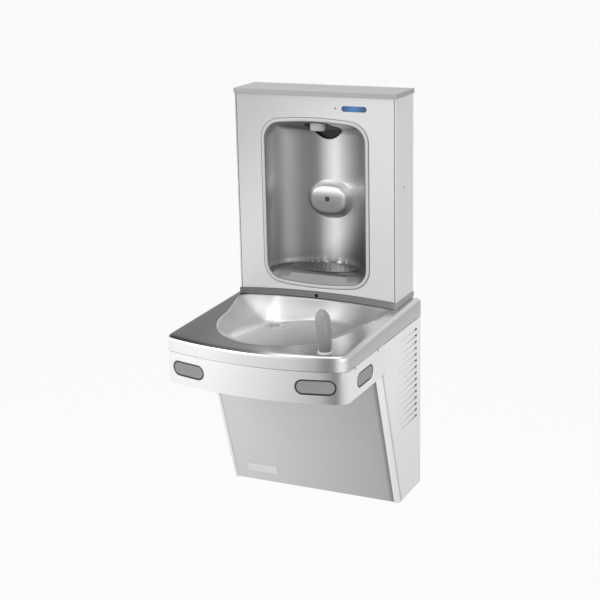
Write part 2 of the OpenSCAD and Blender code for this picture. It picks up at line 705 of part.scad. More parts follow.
// Towards the bowl is +Y in the guard's own frame
module at_bubbler() {
    translate([bubbler_x, bubbler_y, bubbler_z + gasket_h]) rotate([0, 0, guard_turn]) children();
}
function guard_size(s) = guard_r * (guard_foot_share + (1 - guard_foot_share) * sin(90 * min(1, guard_swell * s)))
    * sqrt(max(0, 1 - pow(max(0, (s - crown_share) / (1 - crown_share)), crown_power)));
module bubbler_guard() {
    rings = [for (k = [0:guard_rings]) let (s = guard_end_share * k / guard_rings, w = guard_size(s))
        [for (i = [0:guard_n - 1]) let (t = 360 * i / guard_n)
            [w * cos(t), guard_lean * s * s + w * guard_depth_share * sin(t), guard_h * s]]];
    color("gray") at_bubbler() difference() {
        polyhedron(points = concat([for (r = rings) each r],
                [[0, 0, 0], [0, guard_lean, guard_h]]),
            faces = capped_faces(guard_n, guard_rings + 1));
        rod_z([0, 0, -over], (spout_r + 2 * seat_gap) / cos(180 / guard_bore_n), guard_h * mouth_share,
            $fn = guard_bore_n);
        block([-spout_r - 2 * seat_gap, 0, guard_h / 4], [spout_r + 2 * seat_gap, guard_h, guard_h * mouth_share]);
    }
}
spout_h_share = 0.4;
spout_lean = 50;
tip_share = 0.8;
module bubbler_spout() {
    color("silver") {
        at_bubbler() {
            rod_z([0, 0, seat_gap], spout_r, guard_h * spout_h_share);
            translate([0, 0, guard_h * spout_h_share]) rotate([-spout_lean, 0, 0])
                cylinder(r = spout_r * tip_share, h = 2 * spout_r);
        }
        rod_z([bubbler_x, bubbler_y, bubbler_z - shank_drop], shank_r, shank_drop + gasket_h);
        rod_z([bubbler_x, bubbler_y, bubbler_z + gasket_h - over], spout_r, over + seat_gap);
    }
}
module bubbler_nut() {
    color("goldenrod") difference() {
        rod_z([bubbler_x, bubbler_y, deck_z(bubbler_y - nut_r) - basin_t - seat_gap - nut_h], nut_r, nut_h, $fn = 6);
        rod_z([bubbler_x, bubbler_y, seam_z], shank_r + seat_gap / 3, 2 * skirt_h);
    }
}

// Apron: the bowed band with a floor, cut for the pads
pad_rise = 39;
side_pad_drop = 3;
pad_z = lower_h + pad_rise;
pad_x = half_w - pad_side;
pad_gap = 0.8;
front_turn = asin(pad_x / bow_r);
pad_front_y = bow_y - sqrt(bow_r * bow_r - pad_x * pad_x);
// A pad's own frame: +Y goes inwards, and the origin is on the apron's face
module at_front_pad(s) {
    translate([s * pad_x, pad_front_y, pad_z]) rotate([0, 0, s * front_turn]) children();
}
module at_side_pad(s) {
    translate([s * half_w, -side_pad_y, pad_z - side_pad_drop]) rotate([0, 0, s * 90]) children();
}
seam_screw_sets = [84, 221];
seam_screw_ys = [for (d = seam_screw_sets) d - basin_d];
cut_front = 4;
cut_l = 12;
module apron() {
    color("whitesmoke") difference() {
        union() {
            difference() {
                translate([0, 0, lower_h]) linear_extrude(apron_h) difference() {
                    polygon(whole_outline(0));
                    polygon(whole_outline(sheet_t));
                }
                block([-unit_w, -wrap_y, 0], [unit_w, over, 2 * seam_z]);
            }
            difference() {
                translate([0, 0, lower_h]) linear_extrude(sheet_t) polygon(whole_outline(sheet_t / 2));
                block([-unit_w, -lower_top_d - seat_gap, 0], [unit_w, over, 2 * seam_z]);
            }
        }
        for (s = [-1, 1]) {
            at_front_pad(s) upright_xz(-cut_front, cut_l) stadium(pad_w + 2 * pad_gap, pad_h + 2 * pad_gap);
            at_side_pad(s) upright_xz(-cut_front, cut_l) stadium(pad_w + 2 * pad_gap, pad_h + 2 * pad_gap);
            for (y = seam_screw_ys)
                rod_x([s * (half_w - sheet_t / 2) - cut_front / 2, y, seam_z - 2 * screw_r],
                    screw_r + screw_gap, cut_front);
        }
    }
}
// Pads: a face, a flange behind the apron, and a stem to the switch
pad_lip = 3;
pad_lip_t = 2;
pad_recess = 0.6;
stem_r = 4;
stem_end = 20;
spring_wall = 2.5;
plate_y = 15;
plate_t = 2;
guide_x = 53;
corner_room = 1.6;
guide_half_h = 12;
arm_x = 14;
arm_end = 38;
switch_d = 13;
switch_h = 10;
function face_sag(x) = x * x / (2 * bow_r);
// Where the flange starts: past the apron's sheet and its bow over the flange's length
function lip_y(bowed) = sheet_t + seat_gap + (bowed ? face_sag(pad_w / 2 + pad_lip) : 0);
module pad(bowed) {
    color("darkgray") {
        intersection() {
            upright_xz(-over, lip_y(bowed) + over) stadium(pad_w, pad_h);
            if (bowed) translate([0, bow_r, -pad_h]) cylinder(r = bow_r - pad_recess, h = 2 * pad_h, $fn = 720);
            else block([-pad_w, pad_recess, -pad_h], [pad_w, plate_y, pad_h]);
        }
        upright_xz(lip_y(bowed), pad_lip_t) stadium(pad_w + 2 * pad_lip, pad_h + 2 * pad_lip);
        rod_y([0, lip_y(bowed), 0], stem_r, stem_end - lip_y(bowed));
    }
}
module pad_spring(bowed) {
    y0 = lip_y(bowed) + pad_lip_t;
    color("silver") difference() {
        rod_y([0, y0, 0], stem_r + spring_wall, plate_y - y0);
        rod_y([0, y0 - over, 0], stem_r + seat_gap, plate_y + over);
    }
}
module pad_guide(bowed) {
    y0 = sheet_t + seat_gap + (bowed ? face_sag(guide_x + plate_t) + corner_room : 0);
    color("dimgray") difference() {
        union() {
            block([-guide_x - plate_t, plate_y, -guide_half_h], [guide_x + plate_t, plate_y + plate_t, guide_half_h]);
            for (s = [-1, 1]) {
                block([s * (guide_x + plate_t / 2) - plate_t / 2, y0, -guide_half_h],
                    [s * (guide_x + plate_t / 2) + plate_t / 2, plate_y + plate_t, guide_half_h]);
                block([s * arm_x - plate_t / 2, plate_y, -switch_h], [s * arm_x + plate_t / 2, arm_end, switch_h]);
            }
        }
        rod_y([0, plate_y - over, 0], stem_r + seat_gap, plate_t + 2 * over);
    }
}
module pad_switch() {
    y0 = stem_end + pad_travel + seat_gap;
    x = arm_x - plate_t / 2 - seat_gap / 3;
    color("black") block([-x, y0, -switch_h / 2], [x, y0 + switch_d, switch_h / 2]);
}
module each_pad_place() {
    for (s = [-1, 1]) {
        at_front_pad(s) { $bowed = true; children(); }
        at_side_pad(s) { $bowed = false; children(); }
    }
}
module pad_guides() { each_pad_place() pad_guide($bowed); }
module pad_switches() { each_pad_place() pad_switch(); }

// Lower cabinet: its front slopes from the foot out to the apron
slope = atan((lower_top_d - lower_d) / lower_h);
slope_l = lower_h / cos(slope);
hem_l = 2;
hem_x = half_w - bend_r - hem_l;
bend_y = bend_r / cos(slope);
side_top = lower_h - seam_gap;
upper_top = seam_z - seam_gap;
louvre_h = 7;
louvre_depth = 5;
louvre_y = -25;
louvre_drop = 177;
louvre_z = lower_h - louvre_drop;
// The slope's own frame: X as before, Z up the slope, Y from its face inwards
module on_slope() { translate([0, -lower_d, 0]) rotate([slope, 0, 0]) children(); }
module right_side() {
    difference() {
        union() {
            upright_yz(half_w - sheet_t, sheet_t) polygon([[0, 0], [-lower_d + bend_y, 0],
                [-lower_top_d + bend_y + seam_gap * tan(slope), side_top], [-wrap_y + seam_gap, side_top],
                [-wrap_y + seam_gap, upper_top], [0, upper_top]]);
            intersection() {
                on_slope() translate([0, 0, -2 * bend_r]) linear_extrude(slope_l + 4 * bend_r) {
                    difference() {
                        translate([half_w - bend_r, bend_r]) circle(r = bend_r);
                        translate([half_w - bend_r, bend_r]) circle(r = bend_r - sheet_t);
                        translate([half_w - 3 * bend_r, -over]) square([2 * bend_r, 3 * bend_r]);
                        translate([half_w - 3 * bend_r, bend_r]) square([4 * bend_r, 2 * bend_r]);
                    }
                    translate([hem_x, 0]) square([half_w - bend_r - hem_x, sheet_t]);
                }
                block([0, -basin_d, 0], [unit_w, 0, side_top]);
            }
            for (k = [0:louvre_n - 1]) translate([0, 0, louvre_z + k * louvre_pitch - louvre_h / 2 - sheet_t])
                linear_extrude(louvre_h + 2 * sheet_t) polygon([[half_w - sheet_t / 2, louvre_y - louvre_l],
                    [half_w - sheet_t, louvre_y - louvre_l], [half_w - sheet_t - louvre_depth, louvre_y],
                    [half_w - sheet_t / 2, louvre_y]]);
        }
        for (k = [0:louvre_n - 1]) translate([0, 0, louvre_z + k * louvre_pitch - louvre_h / 2])
            linear_extrude(louvre_h) polygon([[half_w + over, louvre_y - louvre_l + sheet_t],
                [half_w, louvre_y - louvre_l + sheet_t], [half_w - louvre_depth, louvre_y],
                [half_w - louvre_depth, louvre_y + sheet_t / 4], [half_w + over, louvre_y + sheet_t / 4]]);
    }
}
module right_side_panel() { color("lightgray") right_side(); }
module left_side_panel() { color("lightgray") mirror([1, 0, 0]) right_side(); }
panel_set = sheet_t + seat_gap;
front_lap = 4;
front_half = hem_x + front_lap;
module lower_front_panel() {
    color("silver") intersection() {
        on_slope() block([-front_half, panel_set, -bend_r], [front_half, panel_set + sheet_t, slope_l + bend_r]);
        block([-unit_w, -basin_d, sheet_t + seat_gap], [unit_w, 0, side_top]);
    }
}
plate_side = 90;
plate_x = plate_side - half_w;
plate_rise = 42;
plate_t2 = 0.8;
plate_r = 3;
module nameplate() {
    color("white") on_slope() upright_xz(panel_set - plate_t2 - seat_gap / 6, plate_t2)
        translate([plate_x, plate_rise]) union() {
        square([plate_w - 2 * plate_r, plate_h], center = true);
        square([plate_w, plate_h - 2 * plate_r], center = true);
        for (i = [-1, 1], j = [-1, 1])
            translate([i * (plate_w / 2 - plate_r), j * (plate_h / 2 - plate_r)]) circle(r = plate_r);
    }
}
// Back and bottom
pan_half = half_w - sheet_t - seat_gap;
pan_up = 30;
frame_room = 2;
frame_half = pan_half - frame_room;
frame_y = -3;
frame_strip = 12;
frame_gap = 1;
frame_drop = 4;
frame_low = pan_up + frame_gap;
frame_top = seam_z - frame_drop;
hanger_half = 170;
hanger_t = 2.5;
hanger_h = 36;
hanger_drop = 38;
hanger_z = frame_top - hanger_drop;
hook_x = 120;
hook_w = 20;
hook_t = 4;
hook_out = 8;
hook_rise = 22;
hook_z = hanger_z + hook_rise;
hanger_hole_x = 150;
hanger_hole_low = 8;
hanger_hole_rise = 20;
pipe_window_x = [-135, -5];
pipe_window_half = 32;
power_x = 0;
power_z = 70;
power_w = 28;
power_h = 22;
power_d = 27;
power_socket_d = 22;
inlet_x = -30;
module bottom_pan() {
    color("gray") {
        block([-pan_half, -lower_d + bend_r, 0], [pan_half, 0, sheet_t]);
        block([-pan_half, -sheet_t, 0], [pan_half, 0, pan_up]);
    }
}
module back_frame() {
    color("gray") difference() {
        union() {
            block([-frame_half, frame_y - sheet_t, frame_low], [frame_half, frame_y, frame_top]);
            both() block([frame_half - frame_strip, frame_y - sheet_t, frame_low], [frame_half, 0, frame_top]);
            block([-frame_half, frame_y - sheet_t, frame_top - sheet_t], [frame_half, 0, frame_top]);
            block([-frame_half, frame_y - sheet_t, frame_low], [frame_half, 0, frame_low + sheet_t]);
        }
        block([pipe_window_x[0], frame_y - sheet_t - over, waste_z - pipe_window_half],
            [pipe_window_x[1], over, waste_z + pipe_window_half]);
        both() {
            block([hook_x - hook_w / 2 - over, frame_y - sheet_t - over, hook_z - hook_w],
                [hook_x + hook_w / 2 + over, over, hook_z + hook_t + seat_gap]);
            for (k = [0, 1])
                rod_y([hanger_hole_x, frame_y - sheet_t - over, hanger_z + hanger_hole_low + k * hanger_hole_rise],
                    wall_hole_r * 2, sheet_t + 2 * over);
        }
        block([power_x - power_w / 2 - seat_gap, frame_y - sheet_t - over, power_z - power_h / 2 - seat_gap],
            [power_x + power_w / 2 + seat_gap, over, power_z + power_h / 2 + seat_gap]);
    }
}
module wall_hanger() {
    color("dimgray") difference() {
        union() {
            block([-hanger_half, -hanger_t, hanger_z], [hanger_half, 0, hanger_z + hanger_h]);
            both() {
                block([hook_x - hook_w / 2, -hook_out, hook_z], [hook_x + hook_w / 2, -hanger_t, hook_z + hook_t]);
                block([hook_x - hook_w / 2, -hook_out, hook_z],
                    [hook_x + hook_w / 2, -hook_out + sheet_t, hook_z + 2 * hook_t]);
            }
        }
        for (x = [-hanger_hole_x, hanger_hole_x], k = [0, 1])
            rod_y([x, -hanger_t - over, hanger_z + hanger_hole_low + k * hanger_hole_rise], wall_hole_r,
                hanger_t + 2 * over);
    }
}
module power_inlet() {
    y1 = frame_y - sheet_t - seat_gap;
    color("black") difference() {
        union() {
            block([power_x - power_w / 2, -power_d, power_z - power_h / 2],
                [power_x + power_w / 2, frame_y, power_z + power_h / 2]);
            block([power_x - power_w / 2 - bezel, y1 - bezel, power_z - power_h / 2 - bezel],
                [power_x + power_w / 2 + bezel, y1, power_z + power_h / 2 + bezel]);
        }
        block([power_x - power_w / 2 + bezel, -power_socket_d, power_z - power_h / 2 + bezel],
            [power_x + power_w / 2 - bezel, over, power_z + power_h / 2 - bezel]);
    }
}

// Refrigeration: compressor on rubber mounts, condenser, fan and cooling tank
comp_side = 105;
comp_x = half_w - comp_side;
comp_y = -78;
comp_h = 118;
mount_h = 18;
mount_r = 9;
mount_dx = 50;
mount_dy = 46;
comp_base_t = 2.5;
comp_base_z = sheet_t + mount_h + seat_gap;
can_steps = 8;
dome_h = 24;
comp_off = 6;
can_foot_share = 0.9;
can_crown_share = 0.35;
module compressor() {
    z0 = comp_base_z + comp_base_t;
    color("black") translate([comp_x, comp_y, 0]) {
        difference() {
            block([-mount_dx - mount_r, -mount_dy - mount_r, comp_base_z],
                [mount_dx + mount_r, mount_dy + mount_r, z0]);
            for (x = [-mount_dx, mount_dx], y = [-mount_dy, mount_dy])
                rod_z([x, y, comp_base_z - over], water_r, comp_base_t + 2 * over);
        }
        translate([0, 0, z0]) rotate_extrude($fn = 64) polygon(concat(
            [[0, 0], [compressor_r * can_foot_share, 0]],
            [for (i = [0:can_steps]) let (t = 90 * i / can_steps)
                [compressor_r * (can_crown_share + (1 - can_crown_share) * cos(t)),
                    comp_h - dome_h + dome_h * sin(t)]],
            [[0, comp_h]]));
    }
}
module compressor_mounts() {
    color("black") for (x = [-mount_dx, mount_dx], y = [-mount_dy, mount_dy]) {
        rod_z([comp_x + x, comp_y + y, sheet_t], mount_r, mount_h);
        rod_z([comp_x + x, comp_y + y, sheet_t], water_r - seat_gap, mount_h + 2 * comp_base_t);
    }
}
cond_side = 16;
cond_x = cond_side - half_w;
cond_d = 30;
cond_y0 = -138;
cond_y1 = -14;
cond_z0 = 120;
cond_h = 160;
fin_n = 20;
fin_t = 1;
coil_r = 4;
coil_n = 5;
module condenser() {
    color("dimgray") {
        for (y = [cond_y0, cond_y1 - 2 * fin_t])
            block([cond_x, y, sheet_t], [cond_x + cond_d, y + 2 * fin_t, cond_z0 + cond_h]);
        for (i = [1:fin_n]) let (y = cond_y0 + (cond_y1 - cond_y0) * i / (fin_n + 1))
            block([cond_x, y - fin_t / 2, cond_z0], [cond_x + cond_d, y + fin_t / 2, cond_z0 + cond_h]);
        for (k = [0:coil_n - 1]) rod_y([cond_x + cond_d / 2, cond_y0 - over, cond_z0 + cond_h * (k + 0.5) / coil_n],
            coil_r, cond_y1 - cond_y0 + 2 * over);
    }
}
fan_gap = 48;
fan_x = cond_x + fan_gap;
fan_y = -76;
fan_z = cond_z0 + cond_h / 2;
fan_d = 16;
hub_r = 14;
blade_n = 5;
blade_t = 1.6;
blade_pitch = 32;
blade_half = 13;
motor_r = 25;
motor_l = 34;
motor_gap = 6;
shaft_r = 3;
shaft_gap = 0.06;
motor_x = fan_x + fan_d + motor_gap;
module fan_blade() {
    color("lightgray") {
        rod_x([fan_x, fan_y, fan_z], hub_r, fan_d);
        rod_x([fan_x + fan_d - over, fan_y, fan_z], shaft_r, motor_gap + motor_l / 2 + over);
        for (i = [0:blade_n - 1]) translate([fan_x + fan_d / 2, fan_y, fan_z]) rotate([360 * i / blade_n, 0, 0])
            rotate([0, 0, blade_pitch])
                block([-blade_t / 2, -blade_half, hub_r / 2], [blade_t / 2, blade_half, fan_r]);
    }
}
module fan_motor() {
    color("black") difference() {
        union() {
            rod_x([motor_x, fan_y, fan_z], motor_r, motor_l);
            block([motor_x + motor_l - sheet_t, fan_y - motor_r, sheet_t + seat_gap],
                [motor_x + motor_l, fan_y + motor_r, fan_z]);
            block([motor_x + motor_l - sheet_t, fan_y - motor_r, sheet_t + seat_gap],
                [motor_x + motor_l + motor_r, fan_y + motor_r, 2 * sheet_t + seat_gap]);
        }
        rod_x([motor_x - over, fan_y, fan_z], shaft_r + shaft_gap, motor_l / 2 + 3 * over);
    }
}
tank_side = 95;
tank_x = half_w - tank_side;
coil_gap = 0.3;
wrap_r = 3;
tank_y = frame_y - sheet_t - 2 * seat_gap - tank_r - coil_gap - 2 * wrap_r;
tank_z = 172;
tank_h = 158;
wrap_n = 7;
header_r = 2.4;
wrap_foot = 22;
wrap_step = (tank_h - 2 * wrap_foot) / (wrap_n - 1);
module cooling_tank() { color("khaki") rod_z([tank_x, tank_y, tank_z], tank_r, tank_h); }
// The coil round the tank joins a header at its side. One line runs from the compressor's top to
// the condenser's first pipe, and one from the header's foot back to the compressor.
module refrigerant_lines() {
    wrap = tank_r + coil_gap + wrap_r;
    top = comp_base_z + comp_base_t + comp_h + seat_gap;
    rise = top + 3 * wrap_r;
    head = [tank_x - wrap, tank_y, tank_z + wrap_foot];
    line_x = head[0] - 4 * wrap_r;
    pipe = [cond_x + cond_d / 2, cond_y0 - 4 * wrap_r, cond_z0 + cond_h / (2 * coil_n)];
    color("peru") {
        for (k = [0:wrap_n - 1]) translate([tank_x, tank_y, head[2] + k * wrap_step])
            rotate_extrude($fn = 64) translate([wrap, 0]) circle(r = wrap_r, $fn = 24);
        rod_z(head - [0, 0, wrap_foot / 2], header_r, tank_h - wrap_foot);
        tube_run([[comp_x - comp_off, comp_y, top], [comp_x - comp_off, comp_y, rise], [line_x, comp_y, rise],
            [line_x, comp_y, pipe[2]], [line_x, pipe[1], pipe[2]], pipe,
            [pipe[0], cond_y0 - over - seat_gap, pipe[2]]], header_r);
        tube_run([head - [0, 0, wrap_foot / 2], head - [0, 0, 2 * wrap_foot / 3],
            [head[0], comp_y, head[2] - 2 * wrap_foot / 3],
            [head[0], comp_y, rise], [comp_x - comp_off + 4 * wrap_r, comp_y, rise],
            [comp_x - comp_off + 4 * wrap_r, comp_y, top]], header_r);
    }
}
// Thermostat on the back frame, with its knob towards the front
thermo_x = 60;
thermo_z = waste_z;
thermo_w = 40;
thermo_h = 35;
thermo_d = 30;
knob_r = 9;
knob_l = 12;
thermo_front = frame_y - sheet_t - seat_gap - thermo_d;
module thermostat() {
    color("lightgray") difference() {
        block([thermo_x - thermo_w / 2, thermo_front, thermo_z - thermo_h / 2],
            [thermo_x + thermo_w / 2, thermo_front + thermo_d, thermo_z + thermo_h / 2]);
        rod_y([thermo_x, thermo_front - over, thermo_z], shaft_r + shaft_gap, thermo_d / 2 + 2 * over);
    }
}
module thermostat_knob() {
    color("black") {
        rod_y([thermo_x, thermo_front - seat_gap - knob_l, thermo_z], knob_r, knob_l);
        rod_y([thermo_x, thermo_front - seat_gap - over, thermo_z], shaft_r, thermo_d / 2);
        block([thermo_x - over, thermo_front - seat_gap - knob_l - 2 * over, thermo_z - knob_r + over],
            [thermo_x + over, thermo_front - seat_gap - knob_l + over, thermo_z + knob_r - over]);
    }
}
// Solenoid valves: a base, a coil on it, and a plunger that lifts in the coil's bore
valve_w = 26;
valve_base_h = 20;
valve_coil_r = 13;
valve_coil_h = 32;
plunger_r = 4;
plunger_gap = 0.08;
plunger_l = 24;
plunger_lift = 3;
plunger_seat = 12;
fill_valve_rise = 108;
bubbler_valve_side = 40;
bubbler_valve_x = half_w - bubbler_valve_side;
bubbler_valve_drop = 5;
fill_valve = [supply_x, -sheet_t - seat_gap - valve_w / 2, ledge_z + fill_valve_rise];
bubbler_valve = [bubbler_valve_x, frame_y - sheet_t - seat_gap - valve_w / 2, waste_z - bubbler_valve_drop];
module valve(p) {
    color("navy") translate(p) difference() {
        union() {
            block([-valve_w / 2, -valve_w / 2, 0], [valve_w / 2, valve_w / 2, valve_base_h]);
            rod_z([0, 0, valve_base_h - over], valve_coil_r - over, valve_coil_h + over);
        }
        rod_z([0, 0, plunger_seat], plunger_r + plunger_gap, plunger_l + plunger_lift + over);
    }
}
module solenoid_valves() {
    valve(fill_valve);
    valve(bubbler_valve);
}
module plunger(p) { color("silver") rod_z(p + [0, 0, plunger_seat + seat_gap / 3], plunger_r, plunger_l); }
module fill_valve_plunger() { plunger(fill_valve); }
module bubbler_valve_plunger() { plunger(bubbler_valve); }
// Inlet strainer with its stub, and the water tubes
strainer_body_r = 12;
strainer_body_l = 40;
stub_l = 32;
module inlet_strainer() {
    color("goldenrod") {
        rod_y([inlet_x, pipe_end - stub_l, waste_z], inlet_r, stub_l);
        rod_y([inlet_x, pipe_end - stub_l - strainer_body_l, waste_z], strainer_body_r, strainer_body_l);
    }
}
tube_drop = 18;
bubbler_run_drop = 4;
tube_z = seam_z - tube_drop;
bubbler_run_z = seam_z - bubbler_run_drop;
down_gap = 36;
turn_gap = 20;
feed_rise = 13;
run_side = 8;
run_back = 150;
entry_turn = 1.5;
module water_tubes() {
    sy = pipe_end - stub_l - strainer_body_l - seat_gap;
    tank_top = tank_z + tank_h + seat_gap;
    down_x = tank_x - tank_r - down_gap;
    // The cold water enters the tank between the last two turns of its coil
    entry_z = tank_z + wrap_foot + (wrap_n - entry_turn) * wrap_step;
    vy = fill_valve[1];
    bv = bubbler_valve;
    color("whitesmoke") {
        tube_run([[inlet_x, sy, waste_z], [inlet_x, sy - turn_gap, waste_z], [down_x, sy - turn_gap, waste_z],
            [down_x, sy - turn_gap, entry_z], [down_x, tank_y - tank_r - turn_gap, entry_z],
            [tank_x, tank_y - tank_r - turn_gap, entry_z], [tank_x, tank_y - tank_r - seat_gap, entry_z]], water_r);
        tube_run([[tank_x, tank_y, tank_top], [tank_x, tank_y, tube_z], [supply_x, supply_y, tube_z],
            [supply_x, supply_y, fill_valve[2] - turn_gap], [supply_x, vy, fill_valve[2] - turn_gap],
            [supply_x, vy, fill_valve[2] - seat_gap]], water_r);
        tube_run([[supply_x + valve_w / 2 + seat_gap, vy, fill_valve[2] + valve_base_h / 2],
            [supply_x + valve_w, vy, fill_valve[2] + valve_base_h / 2],
            [supply_x + valve_w, vy, housing_top + feed_rise],
            [0, vy, housing_top + feed_rise], [0, nozzle_y, housing_top + feed_rise],
            [0, nozzle_y, housing_top + seat_gap]], water_r);
        tube_run([[bv[0] - valve_w / 2 - seat_gap, bv[1], bv[2] + valve_base_h / 2],
            [bv[0] - valve_w, bv[1], bv[2] + valve_base_h / 2], [bv[0] - valve_w, bv[1], bubbler_run_z],
            [bubbler_x - run_side, bubbler_y + run_back, bubbler_run_z], [bubbler_x, bubbler_y, bubbler_run_z],
            [bubbler_x, bubbler_y, bubbler_z - shank_drop - seat_gap]], water_r);
    }
}
// Control board on standoffs at the filler's back
board_side = 38;
board_x = filler_half - board_side;
board_w = 44;
board_h = 110;
board_t = 1.6;
board_rise = 250;
standoff = 8;
relay_h = 22;
relay_shares = [0.6, 0.9];
chip_h = 5;
chip_shares = [0.15, 0.35];
module control_board() {
    color("darkgreen") {
        y1 = -sheet_t - seat_gap - standoff;
        z0 = ledge_z + board_rise;
        block([board_x - board_w / 2, y1 - board_t, z0], [board_x + board_w / 2, y1, z0 + board_h]);
        for (s = [-1, 1], z = [bezel * 2, board_h - bezel * 2])
            rod_y([board_x + s * (board_w / 2 - bezel * 2), y1 - board_t / 2, z0 + z], bezel, standoff + board_t / 2);
        block([board_x - board_w / 3, y1 - board_t - relay_h, z0 + board_h * relay_shares[0]],
            [board_x + board_w / 3, y1 - board_t / 2, z0 + board_h * relay_shares[1]]);
        for (k = [0:2]) let (x = board_x - board_w / 3 + k * board_w / 4)
            block([x, y1 - board_t - chip_h, z0 + board_h * chip_shares[0]],
                [x + board_w / 6, y1 - board_t / 2, z0 + board_h * chip_shares[1]]);
    }
}
head_r = 3;
head_h = 1.2;
module side_screw(x, y, z) {
    rod_x([x, y, z], head_r, head_h);
    rod_x([x - sheet_t * 3, y, z], screw_r, sheet_t * 3 + over / 2);
}
module cover_screws() {
    color("gray") both() {
        side_screw(filler_half, side_screw_y, ledge_z + side_screw_rise);
        for (y = seam_screw_ys) side_screw(half_w, y, seam_z - 2 * screw_r);
    }
}

filler_wrapper();
filler_front_panel();
top_cap();
alcove_shell();
alcove_trim();
alcove_grille();
alcove_drain_cup();
alcove_drain_tube();
fill_nozzle();
nozzle_housing();
sensor_window();
sensor_module();
status_light();
display_window();
control_board();
solenoid_valves();
fill_valve_plunger();
bubbler_valve_plunger();
water_tubes();
transition_ledge();
basin();
basin_strainer();
bubbler_guard();
bubbler_spout();
bubbler_gasket();
bubbler_nut();
waste_tailpiece();
waste_trap();
apron();
at_front_pad(-1) pad(true);  // front_left_pad
at_front_pad(1) pad(true);  // front_right_pad
at_side_pad(-1) pad(false);  // left_pad
at_side_pad(1) pad(false);  // right_pad
at_front_pad(-1) pad_spring(true);  // front_left_pad_spring
at_front_pad(1) pad_spring(true);  // front_right_pad_spring
at_side_pad(-1) pad_spring(false);  // left_pad_spring
at_side_pad(1) pad_spring(false);  // right_pad_spring
pad_guides();
pad_switches();
lower_front_panel();
left_side_panel();
right_side_panel();
back_frame();
bottom_pan();
wall_hanger();
nameplate();
compressor();
compressor_mounts();
condenser();
fan_motor();
fan_blade();
cooling_tank();
refrigerant_lines();
thermostat();
thermostat_knob();
inlet_strainer();
power_inlet();
cover_screws();
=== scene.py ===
import math

import bmesh
import bpy
import numpy as np
from mathutils import Matrix, Vector


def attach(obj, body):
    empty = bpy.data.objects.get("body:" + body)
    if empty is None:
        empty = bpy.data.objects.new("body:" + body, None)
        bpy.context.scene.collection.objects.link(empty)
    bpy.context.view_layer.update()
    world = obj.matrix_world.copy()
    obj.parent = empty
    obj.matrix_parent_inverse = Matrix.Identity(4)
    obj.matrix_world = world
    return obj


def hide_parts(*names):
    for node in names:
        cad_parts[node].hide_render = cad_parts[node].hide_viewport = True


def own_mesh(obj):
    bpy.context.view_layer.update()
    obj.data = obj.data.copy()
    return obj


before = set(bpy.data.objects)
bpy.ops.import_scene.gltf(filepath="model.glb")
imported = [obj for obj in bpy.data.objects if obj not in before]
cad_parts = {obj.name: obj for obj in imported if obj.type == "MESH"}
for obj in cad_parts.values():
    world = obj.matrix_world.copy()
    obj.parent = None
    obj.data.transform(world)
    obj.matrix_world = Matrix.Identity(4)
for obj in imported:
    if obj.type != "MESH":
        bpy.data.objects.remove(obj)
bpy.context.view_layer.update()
# Looks of a wall hung bottle filling station, built round its imported model. Pieces are worked out
# in millimetres in the model's frame and scaled to metres when their meshes are made. The studio
# and the bands of painted light and shade in the materials are in metres.
MM = 0.001
SCENE = bpy.context.scene

# Camera, floor, world and lamps. The camera's angles, its place in metres and its focal length in
# pixels of a square frame were fitted to the photo.
YAW, PITCH, ROLL = math.radians(25.27575), math.radians(16.12249), math.radians(-1.27343)
CAMERA_AT = Vector((1.376824, -3.128792, 1.451009))
FOCAL_PX, FRAME_PX, SENSOR_MM = 1394.783, 600.0, 36.0
FLOOR_Z, FLOOR_HALF, FLOOR_CELLS = -0.69, 30.0, 12
# WORLD_LIGHT is the strength that lights the part. Camera, glossy and transmission rays see
# SEEN_WHITE instead, and the floor has FLOOR_SHOWN of that white mixed into its own grey for them.
WORLD_LIGHT, SEEN_WHITE, FLOOR_GREY, FLOOR_SHOWN = 0.62, 1.0, 0.86, 0.9
# Each lamp's name, place, aim, size and watts.
LAMPS = [("key", (-2.6, -3.4, 2.9), (0.0, -0.2, 0.6), (2.2, 2.2), 60.0),
         ("fill", (3.2, -2.2, 1.6), (0.0, -0.2, 0.5), (1.6, 2.2), 16.0),
         ("top", (0.2, -0.9, 3.4), (0.0, -0.2, 0.5), (2.0, 1.2), 22.0)]


def add_object(name, data):
    obj = bpy.data.objects.new(name, data)
    SCENE.collection.objects.link(obj)
    return obj


def add_camera():
    """The camera of the photo."""
    ahead = Vector((-math.sin(YAW) * math.cos(PITCH), math.cos(YAW) * math.cos(PITCH), -math.sin(PITCH)))
    right = Vector((math.cos(YAW), math.sin(YAW), 0.0))
    up = right.cross(ahead)
    across = math.cos(ROLL) * right + math.sin(ROLL) * up
    above = -math.sin(ROLL) * right + math.cos(ROLL) * up
    data = bpy.data.cameras.new("camera")
    data.sensor_width = SENSOR_MM
    data.sensor_height = SENSOR_MM
    data.lens = FOCAL_PX / FRAME_PX * SENSOR_MM
    data.clip_end = 100.0
    cam = add_object("camera", data)
    cam.matrix_world = Matrix((across, above, -ahead)).transposed().to_4x4()
    cam.location = CAMERA_AT
    SCENE.camera = cam


def seen_rays(nodes, links):
    """1 for camera, glossy and transmission rays, 0 for the rest."""
    path = nodes.new("ShaderNodeLightPath")
    seen = path.outputs["Is Camera Ray"]
    for kind in ("Is Glossy Ray", "Is Transmission Ray"):
        either = nodes.new("ShaderNodeMath")
        either.operation = "MAXIMUM"
        links.new(seen, either.inputs[0])
        links.new(path.outputs[kind], either.inputs[1])
        seen = either.outputs[0]
    return seen


def mix_shaders(nodes, links, share, lit, shown, out):
    """Sends lit to out, and shown in its place where share is 1."""
    mix = nodes.new("ShaderNodeMixShader")
    links.new(share, mix.inputs[0])
    links.new(lit.outputs[0], mix.inputs[1])
    links.new(shown.outputs[0], mix.inputs[2])
    links.new(mix.outputs[0], out.inputs[0])


